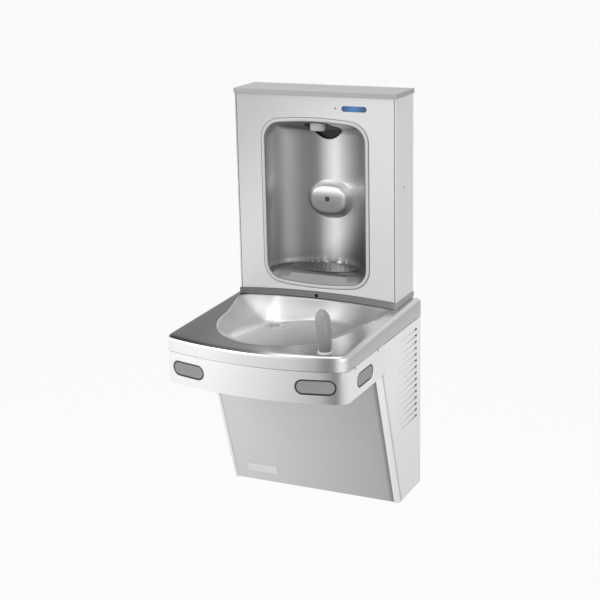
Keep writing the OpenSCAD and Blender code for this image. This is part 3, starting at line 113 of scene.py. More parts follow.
def add_world():
    """Even light on the part, and plain white where the world itself is seen."""
    world = bpy.data.worlds.new("studio")
    SCENE.world = world
    world.use_nodes = True
    nodes, links = world.node_tree.nodes, world.node_tree.links
    nodes.clear()
    out = nodes.new("ShaderNodeOutputWorld")
    soft, plain = nodes.new("ShaderNodeBackground"), nodes.new("ShaderNodeBackground")
    for shader, strength in ((soft, WORLD_LIGHT), (plain, SEEN_WHITE)):
        shader.inputs["Color"].default_value = (1.0, 1.0, 1.0, 1.0)
        shader.inputs["Strength"].default_value = strength
    mix_shaders(nodes, links, seen_rays(nodes, links), soft, plain, out)


def add_floor():
    """A pale floor that keeps the part's shadow."""
    n = FLOOR_CELLS
    verts = [((i / n - 0.5) * 2 * FLOOR_HALF, (j / n - 0.5) * 2 * FLOOR_HALF, FLOOR_Z)
             for j in range(n + 1) for i in range(n + 1)]
    faces = [(j * (n + 1) + i, j * (n + 1) + i + 1, (j + 1) * (n + 1) + i + 1, (j + 1) * (n + 1) + i)
             for j in range(n) for i in range(n)]
    mesh = bpy.data.meshes.new("studio_floor")
    mesh.from_pydata(verts, [], faces)
    floor = add_object("studio_floor", mesh)
    mat = bpy.data.materials.new("studio_floor")
    mat.use_nodes = True
    nodes, links = mat.node_tree.nodes, mat.node_tree.links
    nodes.clear()
    out = nodes.new("ShaderNodeOutputMaterial")
    matt = nodes.new("ShaderNodeBsdfDiffuse")
    matt.inputs["Color"].default_value = (FLOOR_GREY, FLOOR_GREY, FLOOR_GREY, 1.0)
    glow = nodes.new("ShaderNodeEmission")
    glow.inputs["Strength"].default_value = SEEN_WHITE
    share = nodes.new("ShaderNodeMath")
    share.operation = "MULTIPLY"
    share.inputs[1].default_value = FLOOR_SHOWN
    links.new(seen_rays(nodes, links), share.inputs[0])
    mix_shaders(nodes, links, share.outputs[0], matt, glow, out)
    mesh.materials.append(mat)


def add_lamp(name, at, aim, size, watts):
    data = bpy.data.lights.new(name, "AREA")
    data.shape = "RECTANGLE"
    data.size, data.size_y = size
    data.energy = watts
    lamp = add_object(name, data)
    lamp.location = at
    lamp.rotation_euler = (Vector(aim) - Vector(at)).to_track_quat("-Z", "Y").to_euler()


# Materials
COOL = (1.0, 1.004, 1.012)
COAT_ROUGH = 0.25
NOISE_ROUGH = 0.55


def grey(value):
    return tuple(value * part for part in COOL) + (1.0,)


class Look:
    """A principled material on object coordinates, which are the model's own metres."""

    def __init__(self, name, colour, metallic, rough, specular=0.5, coat=0.0):
        self.mat = bpy.data.materials.new(name)
        self.mat.use_nodes = True
        self.nodes, self.links = self.mat.node_tree.nodes, self.mat.node_tree.links
        self.bsdf = self.nodes["Principled BSDF"]
        self.bsdf.inputs["Base Color"].default_value = colour
        self.bsdf.inputs["Metallic"].default_value = metallic
        self.bsdf.inputs["Roughness"].default_value = rough
        self.bsdf.inputs["Specular IOR Level"].default_value = specular
        self.bsdf.inputs["Coat Weight"].default_value = coat
        self.bsdf.inputs["Coat Roughness"].default_value = COAT_ROUGH
        self.coords = self.nodes.new("ShaderNodeTexCoord").outputs["Object"]
        self.colour = None
        self.base = colour

    def noise(self, scale, stretch=(1, 1, 1), detail=3.0):
        mapping = self.nodes.new("ShaderNodeMapping")
        mapping.inputs["Scale"].default_value = stretch
        self.links.new(self.coords, mapping.inputs["Vector"])
        tex = self.nodes.new("ShaderNodeTexNoise")
        tex.inputs["Scale"].default_value = scale
        tex.inputs["Detail"].default_value = detail
        tex.inputs["Roughness"].default_value = NOISE_ROUGH
        self.links.new(mapping.outputs[0], tex.inputs["Vector"])
        return tex.outputs["Fac"]

    def span(self, value, low, high, start=0.0, end=1.0):
        node = self.nodes.new("ShaderNodeMapRange")
        node.inputs["From Min"].default_value = start
        node.inputs["From Max"].default_value = end
        node.inputs["To Min"].default_value = low
        node.inputs["To Max"].default_value = high
        self.links.new(value, node.inputs["Value"])
        return node.outputs["Result"]

    def along(self, direction, start, end):
        """0 to 1 along a direction, from start to end in metres."""
        dot = self.nodes.new("ShaderNodeVectorMath")
        dot.operation = "DOT_PRODUCT"
        dot.inputs[1].default_value = direction
        self.links.new(self.coords, dot.inputs[0])
        return self.span(dot.outputs["Value"], 0.0, 1.0, start, end)

    def ramp(self, value, stops):
        """Tones along a value; stops holds (place, tone), and a tone may be over 1."""
        node = self.nodes.new("ShaderNodeValToRGB")
        node.color_ramp.interpolation = "B_SPLINE" if len(stops) > 2 else "EASE"
        marks = node.color_ramp.elements
        while len(marks) < len(stops):
            marks.new(0.5)
        top = max(tone for _, tone in stops)
        for mark, (at, tone) in zip(marks, stops):
            mark.position = at
            mark.color = (tone / top, tone / top, tone / top, 1.0)
        self.links.new(value, node.inputs["Fac"])
        scale = self.nodes.new("ShaderNodeVectorMath")
        scale.operation = "SCALE"
        scale.inputs["Scale"].default_value = top
        self.links.new(node.outputs["Color"], scale.inputs[0])
        return scale.outputs["Vector"]

    def shade(self, tone):
        """Multiplies the colour by a tone."""
        node = self.nodes.new("ShaderNodeMix")
        node.data_type = "RGBA"
        node.blend_type = "MULTIPLY"
        node.inputs["Factor"].default_value = 1.0
        if self.colour is None:
            node.inputs["A"].default_value = self.base
        else:
            self.links.new(self.colour, node.inputs["A"])
        self.links.new(tone, node.inputs["B"])
        self.colour = node.outputs["Result"]
        self.links.new(self.colour, self.bsdf.inputs["Base Color"])

    def shade_bands(self, painted_light_bands):
        """Bands of painted light and shade, each as (direction, start, end, stops)."""
        for direction, start, end, stops in painted_light_bands:
            self.shade(self.ramp(self.along(direction, start, end), stops))

    def roughen(self, value, low, high):
        self.links.new(self.span(value, low, high), self.bsdf.inputs["Roughness"])

    def bump(self, height, strength, distance):
        node = self.nodes.new("ShaderNodeBump")
        node.inputs["Strength"].default_value = strength
        node.inputs["Distance"].default_value = distance
        self.links.new(height, node.inputs["Height"])
        self.links.new(node.outputs[0], self.bsdf.inputs["Normal"])


def brushed(name, tone, metallic, rough, stretch, painted_light_bands=(), grain=1.0):
    """Sheet metal with fine brush lines, faint smudges, and bands of painted light, shade and reflection."""
    look = Look(name, grey(tone), metallic, rough)
    lines = look.noise(90.0, stretch, 2.0)
    smudge = look.noise(7.0)
    look.shade(look.span(lines, 1 - 0.045 * grain, 1 + 0.04 * grain))
    look.shade(look.span(smudge, 0.975, 1.02))
    look.shade_bands(painted_light_bands)
    look.roughen(lines, rough - 0.07 * grain, rough + 0.08 * grain)
    look.bump(lines, 0.12 * grain, 0.00008)
    return look.mat


def moulded(name, colour, rough, grain, depth=0.25, specular=0.5, coat=0.0, painted_light_bands=()):
    """Moulded plastic or rubber with a fine grain, light scuffs, and bands of painted light and shade."""
    look = Look(name, colour, 0.0, rough, specular, coat)
    fine = look.noise(grain, detail=2.0)
    scuff = look.noise(24.0, (1, 1, 3), 4.0)
    look.shade(look.span(scuff, 0.93, 1.05))
    look.shade_bands(painted_light_bands)
    look.roughen(scuff, rough - 0.06, rough + 0.1)
    look.bump(fine, depth, 0.00006)
    return look.mat


def coated(name, colour, metallic, rough, speck):
    """Paint, zinc or bare metal inside the cabinet, with mottling."""
    look = Look(name, colour, metallic, rough)
    mottle = look.noise(speck, detail=4.0)
    look.shade(look.span(mottle, 0.86, 1.1))
    look.roughen(mottle, rough - 0.1, rough + 0.12)
    look.bump(mottle, 0.15, 0.0001)
    return look.mat


# Directions of the bands of painted light and shade. EDGE_BACK runs back from the lower cabinet's sloped
# front edge, and ACROSS gives a band the whole width of the part.
LEFT_RIGHT, BACKWARD, UP, DOWN_RIGHT = (1.0, 0.0, 0.0), (0.0, 1.0, 0.0), (0.0, 0.0, 1.0), (1.0, 0.0, -1.0)
EDGE_BACK = (0.0, 0.951, 0.310)
ACROSS = (LEFT_RIGHT, -0.23, 0.23)
# Stretch of the brush lines: along X, along Z, and none.
LINES_X, LINES_Z, EVEN = (0.4, 30.0, 30.0), (30.0, 30.0, 0.4), (1.5, 1.5, 1.5)
MATS = {
    # Painted shade and light: the filler panels darker towards the upper left, lighter towards the lower right.
    "panel": brushed("silver_panel", 0.66, 0.35, 0.38, LINES_Z,
                     [(DOWN_RIGHT, -1.20, -0.80, [(0.0, 0.80), (1.0, 1.13)])]),
    # Painted light and shade: lighter at the left, a painted shadow strip along the right edge beside the side
    # panel's flange, darker at the bottom and a little at the top.
    "lower": brushed("lower_panel", 0.52, 0.45, 0.38, LINES_X,
                     [(*ACROSS, [(0.0, 1.44), (0.5, 1.12), (0.945, 0.94), (0.962, 0.48), (1.0, 0.42)]),
                      (UP, 0.0, 0.37, [(0.0, 0.88), (0.75, 1.0), (1.0, 0.9)])]),
    # Painted light: lighter towards the top; along the front, a painted highlight on the rounded bend and a dark
    # line behind it, the seam's line deepened with painted shade.
    "side": brushed("side_panel", 0.84, 0.3, 0.38, LINES_X,
                    [(UP, 0.0, 0.37, [(0.0, 0.92), (0.5, 1.0), (1.0, 1.12)]),
                     (EDGE_BACK, -0.1446, -0.1046,
                      [(0.0, 1.06), (0.26, 1.08), (0.33, 0.58), (0.43, 0.58), (0.5, 1.0)])]),
    # Painted reflection: light at the left, dimming to a dark band before the right front corner, then a painted
    # highlight on the corner and the side.
    "apron": brushed("apron_panel", 0.68, 0.4, 0.3, LINES_X,
                     [(*ACROSS, [(0.0, 1.38), (0.26, 1.45), (0.43, 1.26), (0.61, 1.08), (0.74, 0.92), (0.87, 0.74),
                                 (0.93, 0.34), (0.955, 0.36), (0.975, 0.9), (1.0, 1.35)])]),
    # Painted reflection: dark at the left, bright across the right part; painted shade darker towards the front.
    "deck": brushed("deck_steel", 0.40, 0.85, 0.26, LINES_X,
                    [(*ACROSS, [(0.0, 0.14), (0.14, 0.15), (0.22, 0.24), (0.30, 0.36), (0.40, 0.42), (0.50, 0.52),
                                (0.56, 0.85), (0.60, 1.4), (0.65, 2.2), (0.72, 2.5), (0.78, 2.3), (0.84, 1.6),
                                (0.9, 1.45), (1.0, 1.6)]),
                     (BACKWARD, -0.5, -0.26, [(0.0, 0.72), (1.0, 1.0)])], 0.6),
    # Painted highlight and shade across the bowl: a bright streak left of the middle, darker to the right; lighter
    # low down, darker towards the rim.
    "bowl": brushed("bowl_steel", 0.60, 0.7, 0.46, EVEN,
                    [(LEFT_RIGHT, -0.172, 0.172,
                      [(0.0, 0.95), (0.07, 1.0), (0.12, 0.82), (0.16, 0.9), (0.19, 1.2), (0.22, 1.0), (0.26, 0.76),
                       (0.34, 0.72), (0.6, 0.66), (0.8, 0.64), (0.9, 0.44), (1.0, 0.75)]),
                     (UP, 0.452, 0.507, [(0.0, 1.32), (0.3, 1.25), (0.6, 0.92), (1.0, 0.88)])], 0.12),
    # Painted reflection like the apron's: light at the left, a dark band before the right corner, a painted
    # highlight on the corner.
    "roll": brushed("roll_steel", 0.70, 0.55, 0.24, LINES_X,
                    [(*ACROSS, [(0.0, 1.30), (0.26, 1.42), (0.43, 1.15), (0.61, 1.0), (0.74, 0.9), (0.85, 0.62),
                                (0.905, 0.30), (0.94, 0.38), (0.965, 1.3), (0.985, 1.3), (0.997, 0.7),
                                (1.0, 0.6)])], 0.6),
    # Painted reflection and shade in the alcove: lighter at the left edge, a bright column of painted reflection
    # right of the middle with dark bands beside it, painted shade near the floor and in the lower right.
    "recess": brushed("recess_steel", 0.48, 0.75, 0.32, LINES_Z,
                      [(LEFT_RIGHT, -0.132, 0.132,
                        [(0.0, 1.45), (0.03, 1.2), (0.09, 0.82), (0.16, 0.68), (0.24, 0.46), (0.35, 0.42),
                         (0.42, 1.0), (0.53, 2.2), (0.62, 1.3), (0.75, 0.85), (0.88, 0.85), (1.0, 0.9)]),
                       (UP, 0.562, 0.66, [(0.0, 0.5), (0.05, 0.7), (0.11, 1.15), (0.4, 1.1), (1.0, 1.0)]),
                       (DOWN_RIGHT, -0.62, -0.50, [(0.0, 1.0), (0.35, 0.72), (0.7, 0.42), (1.0, 0.38)])], 0.6),
    # The alcove's floor: the same steel as the walls, darkened as painted shade.
    "recess_floor": brushed("recess_floor_shaded_steel", 0.155, 0.6, 0.36, LINES_X, grain=0.5),
    # Painted highlight on the nose: bright across its top and towards its right, darker below.
    "nose": brushed("nose_steel", 0.62, 0.7, 0.3, LINES_Z,
                    [(UP, 0.690, 0.780,
                      [(0.0, 0.42), (0.3, 0.40), (0.5, 0.50), (0.62, 0.8), (0.74, 2.2), (1.0, 2.6)]),
                     (LEFT_RIGHT, 0.0, 0.06, [(0.0, 1.0), (0.6, 1.0), (0.8, 2.0), (1.0, 2.2)])], 0.3),
    "grille": brushed("grille_steel", 0.17, 0.65, 0.34, EVEN, grain=0.3),
    "strainer": brushed("strainer_steel", 0.60, 0.75, 0.3, EVEN, grain=0.2),
    "cap": moulded("cap_plastic", grey(0.42), 0.5, 700.0),
    # Painted highlight: the ledge's right end much lighter, where it turns the corner.
    "ledge": moulded("ledge_plastic", grey(0.17), 0.4, 700.0, 0.2,
                     painted_light_bands=[(*ACROSS, [(0.0, 0.85), (0.93, 1.2), (0.98, 2.7), (1.0, 2.7)])]),
    "trim": moulded("trim_plastic", grey(0.62), 0.32, 900.0, 0.1, coat=0.2),
    # Painted shade: dark rings standing for the shadow in the gaps beside the trim.
    "trim_shade_line": moulded("trim_gap_shade", grey(0.16), 0.5, 900.0, 0.1),
    "nozzle": moulded("nozzle_plastic", grey(0.50), 0.4, 900.0, 0.15),
    "housing": moulded("housing_plastic", grey(0.10), 0.5, 700.0),
    "pad": moulded("pad_plastic", grey(0.30), 0.38, 500.0, 0.3),
    # Painted shade: the pads' sides darkened for the shadow in the gap round each pad.
    "pad_edge_shade": moulded("pad_gap_shade", grey(0.045), 0.45, 500.0, 0.2),
    # Painted shade and light: the hood darker at its foot, lighter towards its top.
    "guard": moulded("guard_plastic", grey(0.25), 0.3, 900.0, 0.1, coat=0.15,
                     painted_light_bands=[(UP, 0.485, 0.575, [(0.0, 0.55), (0.3, 1.0), (1.0, 1.25)])]),
    "gasket": moulded("gasket_rubber", grey(0.72), 0.45, 900.0, 0.1),
    "sensor": moulded("sensor_glass", (0.006, 0.006, 0.007, 1.0), 0.15, 900.0, 0.02, 0.5, 0.6),
    # Painted highlight: the window lighter across its middle.
    "blue": moulded("blue_window", (0.045, 0.16, 0.38, 1.0), 0.2, 900.0, 0.03, 0.5, 0.5,
                    painted_light_bands=[(LEFT_RIGHT, 0.072, 0.137,
                            [(0.0, 0.5), (0.2, 0.55), (0.5, 1.6), (0.8, 0.55), (1.0, 0.5)])]),
    "lens": moulded("light_lens", grey(0.14), 0.25, 900.0, 0.05),
    "plate": brushed("plate_metal", 0.74, 0.2, 0.4, LINES_X),
    "board": moulded("board_green", (0.02, 0.10, 0.04, 1.0), 0.35, 300.0, 0.4),
    "zinc": coated("zinc_steel", grey(0.42), 0.7, 0.42, 45.0),
    "black": coated("black_paint", grey(0.02), 0.0, 0.35, 80.0),
    "dark": moulded("black_plastic", grey(0.025), 0.45, 700.0),
    "rubber": moulded("black_rubber", grey(0.02), 0.75, 400.0, 0.5, 0.3),
    "copper": coated("copper_tube", (0.70, 0.30, 0.16, 1.0), 0.9, 0.32, 70.0),
    "brass": coated("brass_fitting", (0.66, 0.46, 0.18, 1.0), 0.9, 0.3, 90.0),
    "foam": moulded("tank_foam", (0.55, 0.48, 0.30, 1.0), 0.8, 120.0, 0.8, 0.2),
    "tube": moulded("white_tube", grey(0.66), 0.35, 800.0, 0.1),
    "pipe": moulded("waste_pipe", (0.62, 0.62, 0.58, 1.0), 0.4, 600.0, 0.15),
    "spring": coated("spring_steel", grey(0.50), 0.9, 0.3, 120.0),
    "fan": moulded("fan_plastic", grey(0.50), 0.45, 600.0, 0.2),
    "fins": coated("condenser_metal", grey(0.10), 0.6, 0.45, 200.0),
    "coil": moulded("coil_plastic", (0.02, 0.035, 0.12, 1.0), 0.4, 500.0, 0.2),
}
NODE_MATS = {
    "filler_wrapper": "panel", "filler_front_panel": "panel", "top_cap": "cap", "alcove_grille": "grille",
    "alcove_drain_cup": "housing", "alcove_drain_tube": "dark", "nozzle_housing": "housing",
    "sensor_window": "sensor", "sensor_module": "board", "status_light": "lens", "control_board": "board",
    "solenoid_valves": "coil", "fill_valve_plunger": "spring", "bubbler_valve_plunger": "spring",
    "water_tubes": "tube", "transition_ledge": "ledge", "basin_strainer": "strainer", "bubbler_spout": "bowl",
    "bubbler_gasket": "gasket", "bubbler_nut": "brass", "waste_tailpiece": "pipe", "waste_trap": "pipe",
    "front_left_pad_spring": "spring", "front_right_pad_spring": "spring", "left_pad_spring": "spring",
    "right_pad_spring": "spring", "pad_guides": "zinc", "pad_switches": "dark", "lower_front_panel": "lower",
    "left_side_panel": "side", "right_side_panel": "side", "back_frame": "zinc", "bottom_pan": "zinc",
    "wall_hanger": "zinc", "nameplate": "plate", "compressor": "black", "compressor_mounts": "rubber",
    "condenser": "fins", "fan_motor": "black", "fan_blade": "fan", "cooling_tank": "foam",
    "refrigerant_lines": "copper", "thermostat": "nozzle", "thermostat_knob": "dark", "inlet_strainer": "brass",
    "power_inlet": "dark", "cover_screws": "spring",
}


def dress_nodes():
    """Gives every node of the model its look."""
    for node, look in NODE_MATS.items():
        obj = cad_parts[node]
        for place in obj.material_slots:
            place.material = MATS[look]


# Mesh helpers
def loop_faces(n, rings):
    """Quads between rings of n points each, closed round."""
    return [(k * n + i, k * n + (i + 1) % n, (k + 1) * n + (i + 1) % n, (k + 1) * n + i)
            for k in range(rings - 1) for i in range(n)]


def closed_faces(n, rings):
    """The same quads with both ends closed."""
    last = (rings - 1) * n
    return loop_faces(n, rings) + [tuple(range(n))[::-1], tuple(range(last, last + n))]


def solid_mesh(name, verts, faces, looks=(), face_looks=None):
    """A mesh of points in millimetres, its normals outward. looks holds names in MATS."""
    mesh = bpy.data.meshes.new(name)
    mesh.from_pydata([tuple(float(c) * MM for c in v) for v in verts], [], faces)
    for look in looks:
        mesh.materials.append(MATS[look])
    if face_looks is not None:
        mesh.polygons.foreach_set("material_index", face_looks)
    bm = bmesh.new()
    bm.from_mesh(mesh)
    bmesh.ops.recalc_face_normals(bm, faces=bm.faces)
    bm.to_mesh(mesh)
    bm.free()
    return mesh


def piece(name, verts, faces, looks, body="cabinet", instead=(), face_looks=None, sharp=35.0):
    """One piece with the body that it rides on and the nodes that it replaces."""
    mesh = solid_mesh(name, verts, faces, looks, face_looks)
    finish_mesh(mesh, sharp)
    obj = add_object(name, mesh)
    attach(obj, body)
    if instead:
        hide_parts(*instead)
    return obj


def finish_mesh(mesh, sharp):
    mesh.polygons.foreach_set("use_smooth", [True] * len(mesh.polygons))
    mesh.set_sharp_from_angle(angle=math.radians(sharp))
    mesh.update()


def apply_modifiers(obj, sharp):
    graph = bpy.context.evaluated_depsgraph_get()
    made = bpy.data.meshes.new_from_object(obj.evaluated_get(graph))
    obj.modifiers.clear()
    old = obj.data
    obj.data = made
    made.name = old.name
    bpy.data.meshes.remove(old)
    finish_mesh(obj.data, sharp)


def cut(obj, tools, sharp):
    """Takes the tools' volumes out of a piece, and the tools out of the scene."""
    for tool in tools:
        mod = obj.modifiers.new("cut", "BOOLEAN")
        mod.operation = "DIFFERENCE"
        mod.solver = "EXACT"
        mod.object = tool
    bpy.context.view_layer.update()
    apply_modifiers(obj, sharp)
    for tool in tools:
        mesh = tool.data
        bpy.data.objects.remove(tool)
        bpy.data.meshes.remove(mesh)


def prism(name, outline, low, high, place):
    """A closed prism of an outline, from low to high, with place(u, v, w) giving a point."""
    verts = [place(u, v, low) for u, v in outline] + [place(u, v, high) for u, v in outline]
    return add_object(name, solid_mesh(name, verts, closed_faces(len(outline), 2)))


def ellipse(x, y, a, b, count):
    return [(x + a * math.cos(t), y + b * math.sin(t)) for t in np.linspace(0, 2 * math.pi, count, endpoint=False)]


def resample(points, count):
    """Evenly spaced points round a closed line."""
    p = np.asarray(points, float)
    ends = np.vstack([p, p[:1]])
    run = np.concatenate([[0.0], np.cumsum(np.linalg.norm(np.diff(ends, axis=0), axis=1))])
    want = np.linspace(0.0, run[-1], count, endpoint=False)
    return np.column_stack([np.interp(want, run, ends[:, k]) for k in range(p.shape[1])])


def outward(points):
    """Unit normals of a closed line that runs counterclockwise."""
    side = np.roll(points, -1, axis=0) - np.roll(points, 1, axis=0)
    side /= np.linalg.norm(side, axis=1, keepdims=True)
    return np.column_stack([side[:, 1], -side[:, 0]])


def stadium(w, h, steps=14):
    """A bar with round ends, as 2 * steps + 2 points."""
    r, half = h / 2, (w - h) / 2
    right = [(half + r * math.cos(t), r * math.sin(t)) for t in np.linspace(-math.pi / 2, math.pi / 2, steps + 1)]
    return right + [(-x, -y) for x, y in right]


def smooth_max(a, b, k):
    """The larger of a and b, with a blend where they differ by less than k."""
    k = np.maximum(k, 1e-6)
    return np.maximum(a, b) + np.maximum(k - np.abs(a - b), 0.0) ** 2 / (4 * k)


def blend_at(p, q, r, cut_in, steps):
    """A rounded corner at q between the lines to p and r, cut_in from it on both sides."""
    a = q + (p - q) * (cut_in / np.maximum(np.linalg.norm(p - q, axis=-1, keepdims=True), 1e-9))
    b = q + (r - q) * (cut_in / np.maximum(np.linalg.norm(r - q, axis=-1, keepdims=True), 1e-9))
    return [(1 - t) ** 2 * a + 2 * t * (1 - t) * q + t * t * b for t in np.linspace(0, 1, steps)]


# The model's own sizes
HALF_W, BASIN_D, BOW_H, CORNER_R = 230.0, 504.0, 39.0, 28.0
BOW_R = (HALF_W ** 2 + BOW_H ** 2) / (2 * BOW_H)
BOW_Y = BOW_R - BASIN_D
CORNER_X = HALF_W - CORNER_R
CORNER_Y = BOW_Y - math.sqrt((BOW_R - CORNER_R) ** 2 - CORNER_X ** 2)
APRON_Z, SEAM_Z, DECK_FRONT, DECK_RISE, ROLL_R = 368.0, 443.0, 479.0, 13.0, 12.0
FILLER_D, LEDGE_D, LEDGE_HALF, ARCH_H = 115.0, 118.0, 212.0, 9.0
OPEN_A, OPEN_B, OPEN_BOW, OPEN_R = 132.0, 201.0, 10.0, 42.0
OPEN_Z = 505.035 + 28.0 + OPEN_B
SENSOR_Z, NOSE_FRONT, BACK_Y = 732.035, -42.0, -12.0


# The alcove's floor with its rolled lip, its sloped ceiling, and how far their joins are softened.
GROUND_Z, LIP_RUN, LIP_DROP = 561.6, 26.0, 29.0
ROOF_Z, ROOF_Y, ROOF_SLOPE, ROOF_LIFT = 931.3, -116.0, 0.3225, 4.5
EASE_RUN, ROOF_SOFT, GROUND_SOFT, HOLE_SOFT = 34.0, 15.0, 9.0, 6.0
# Faces below FLOOR_TOP, and those of the straight lip, have the floor's darker look, which is painted shade.
FLOOR_TOP, LIP_HALF, LIP_Y, LIP_TOP = 567.0, 92.0, -88.0, 574.0
# The hole in the ceiling is cut twice: straight down by HOLE_FRONT, from HOLE_LOW to HOLE_HIGH, and
# by HOLE_TILTED, to HOLE_DEPTH on both sides of a plane that leans by HOLE_LEAN degrees at HOLE_AT
# (y and z). Both are ellipses given as middle and half axes.
HOLE_FRONT, HOLE_LOW, HOLE_HIGH = (0.0, -63.0, 44.5, 44.5), 886.0, 980.0
HOLE_TILTED, HOLE_DEPTH, HOLE_LEAN, HOLE_AT = (-5.0, -24.0, 42.0, 37.0), 40.0, 40.0, (-22.0, 884.0)
HOLE_POINTS, ALCOVE_SHEET = 72, 1.0
# The dark plates behind that hole and under the grille, each as its outline and two levels; both are painted shade,
# for the shadow inside the hole and under the grille's holes.
HOLE_SHADE, HOLE_SHADE_Y = [(-62.0, 838.0), (62.0, 838.0), (62.0, 936.0), (-62.0, 936.0)], (-3.4, -2.2)
GRILLE_SHADE, GRILLE_SHADE_POINTS, GRILLE_SHADE_Z = (0.0, -60.0, 84.0, 34.0), 60, (561.5, 561.9)


def deck_z(y):
    return DECK_FRONT + DECK_RISE * (1 + y / BASIN_D)


def half_outline(inset):
    """The right half of the basin's outline, from the middle of the back to the middle of the front."""
    back, side, corner, bow = 30, 40, 20, 70
    end = math.atan2(CORNER_Y - BOW_Y, CORNER_X)
    pts = [((HALF_W - inset) * i / back, -inset) for i in range(back + 1)]
    pts += [(HALF_W - inset, -inset + (CORNER_Y + inset) * i / side) for i in range(1, side + 1)]
    pts += [(CORNER_X + (CORNER_R - inset) * math.cos(end * i / corner),
             CORNER_Y + (CORNER_R - inset) * math.sin(end * i / corner)) for i in range(1, corner + 1)]
    pts += [((BOW_R - inset) * math.cos(a), BOW_Y + (BOW_R - inset) * math.sin(a))
            for a in (end + (-math.pi / 2 - end) * i / bow for i in range(1, bow + 1))]
    return pts


def whole_outline(inset):
    half = half_outline(inset)
    return np.array(half + [(-x, y) for x, y in half[-2:0:-1]])


# Alcove, nose and trim
OPEN_POINTS, FLANGE_Y, FLANGE_W = 216, -113.1, 6
ALCOVE_MIDDLE, ALCOVE_RINGS = (0.0, -75.0, 745.0), 64
CAST_REACH, CAST_STEPS = 340.0, 160


def opening():
    """Points round the alcove's opening, counterclockwise from the front, about its middle."""
    a, b, r = OPEN_A, OPEN_B, OPEN_R
    lean = math.pi / 2 - math.atan(2 * OPEN_BOW * (a - r) / a ** 2)
    x0 = a - r + r * math.cos(lean)
    z0 = b - OPEN_BOW * x0 ** 2 / a ** 2
    quarter = [(a - r + r * math.cos(t), z0 - r * math.sin(lean) + r * math.sin(t))
               for t in np.linspace(0, lean, 20)]
    quarter += [(x, b - OPEN_BOW * x * x / a ** 2) for x in np.linspace(x0, 0, 20)[1:]]
    top = quarter + [(-x, z) for x, z in quarter[-2::-1]]
    line = np.array(top + [(-x, -z) for x, z in top])
    return resample(line, OPEN_POINTS)


def alcove_out(p):
    """Negative inside the alcove, about zero on its skin, in millimetres."""
    x, y, z = p[..., 0], p[..., 1], p[..., 2]
    back = np.maximum(y + FILLER_D, 0.0)
    wall = (np.sqrt((x / OPEN_A) ** 2 + (back / (FILLER_D + BACK_Y)) ** 2) - 1) * (FILLER_D + BACK_Y)
    lip = np.clip((-FILLER_D + LIP_RUN - y) / LIP_RUN, 0.0, 1.0)
    ground = GROUND_Z - LIP_DROP * (1 - np.sqrt(1 - lip ** 2)) - z
    qx = np.abs(x) - (OPEN_A - OPEN_R)
    qz = np.abs(z - OPEN_Z) - (OPEN_B - OPEN_BOW * (x / OPEN_A) ** 2 - OPEN_R)
    hole = np.hypot(np.maximum(qx, 0), np.maximum(qz, 0)) + np.minimum(np.maximum(qx, qz), 0) - OPEN_R
    ease = np.clip(back / EASE_RUN, 0.0, 1.0)
    ease = ease * ease * (3 - 2 * ease)
    roof = z - (ROOF_Z - ROOF_SLOPE * (y - ROOF_Y) + ROOF_LIFT * (1 - ease))
    skin = smooth_max(wall, roof, ROOF_SOFT * ease)
    skin = smooth_max(skin, ground, GROUND_SOFT * ease)
    return smooth_max(skin, hole, HOLE_SOFT * ease)


def cast(origin, ways):
    """Where rays from a point inside first leave the alcove."""
    t = np.linspace(2.0, CAST_REACH, CAST_STEPS)
    f = alcove_out(origin + ways[..., None, :] * t[:, None])
    first = np.argmax(f > 0, axis=-1)
    low, high = t[np.maximum(first - 1, 0)], t[first]
    for _ in range(26):
        mid = (low + high) / 2
        out = alcove_out(origin + ways * mid[..., None]) > 0
        low, high = np.where(out, low, mid), np.where(out, mid, high)
    return origin + ways * ((low + high) / 2)[..., None]


def add_alcove():
    """The pressed recess, from its flange over the opening's rim to the back, with the ceiling's hole."""
    flat = opening()
    n = len(flat)
    rim = np.column_stack([flat[:, 0], np.full(n, -FILLER_D), flat[:, 1] + OPEN_Z])
    grown = flat + outward(flat) * FLANGE_W
    flange = np.column_stack([grown[:, 0], np.full(n, FLANGE_Y), grown[:, 1] + OPEN_Z])
    origin, pole = np.array(ALCOVE_MIDDLE), np.array([0.0, 1.0, 0.0])
    first = rim - origin
    first /= np.linalg.norm(first, axis=1, keepdims=True)
    swing = np.arccos(np.clip(first @ pole, -1, 1))[:, None]
    rings = [flange, rim]
    for k in range(1, ALCOVE_RINGS):
        s = k / ALCOVE_RINGS
        ways = (np.sin((1 - s) * swing) * first + np.sin(s * swing) * pole) / np.sin(swing)
        rings.append(cast(origin, ways))
    tip = cast(origin, pole[None, :])[0]
    verts = [tuple(v) for ring in rings for v in ring] + [tuple(tip)]
    faces = loop_faces(n, len(rings))
    last = (len(rings) - 1) * n
    faces += [(last + i, last + (i + 1) % n, len(verts) - 1) for i in range(n)]
    points = np.array(verts)
    looks = []
    for face in faces:
        high, (x, y, z) = points[list(face), 2].max(), points[list(face)].mean(axis=0)
        looks.append(1 if high < FLOOR_TOP or (abs(x) < LIP_HALF and y < LIP_Y and z < LIP_TOP) else 0)
    shell = piece("alcove_recess", verts, faces, ["recess", "recess_floor"],
                  instead=("alcove_shell",), face_looks=looks)
    skin = shell.modifiers.new("skin", "SOLIDIFY")
    skin.thickness = ALCOVE_SHEET * MM
    skin.offset = 1.0 if outside_is_away(shell, origin) else -1.0
    lean = math.radians(HOLE_LEAN)
    c, s = math.cos(lean), math.sin(lean)
    y, z = HOLE_AT
    cut(shell, [prism("mouth_front", ellipse(*HOLE_FRONT, HOLE_POINTS), HOLE_LOW, HOLE_HIGH,
                      lambda u, v, w: (u, v, w)),
                prism("mouth", ellipse(*HOLE_TILTED, HOLE_POINTS), -HOLE_DEPTH, HOLE_DEPTH,
                      lambda u, v, w: (u, y + v * c + w * s, z - v * s + w * c))], 28.0)


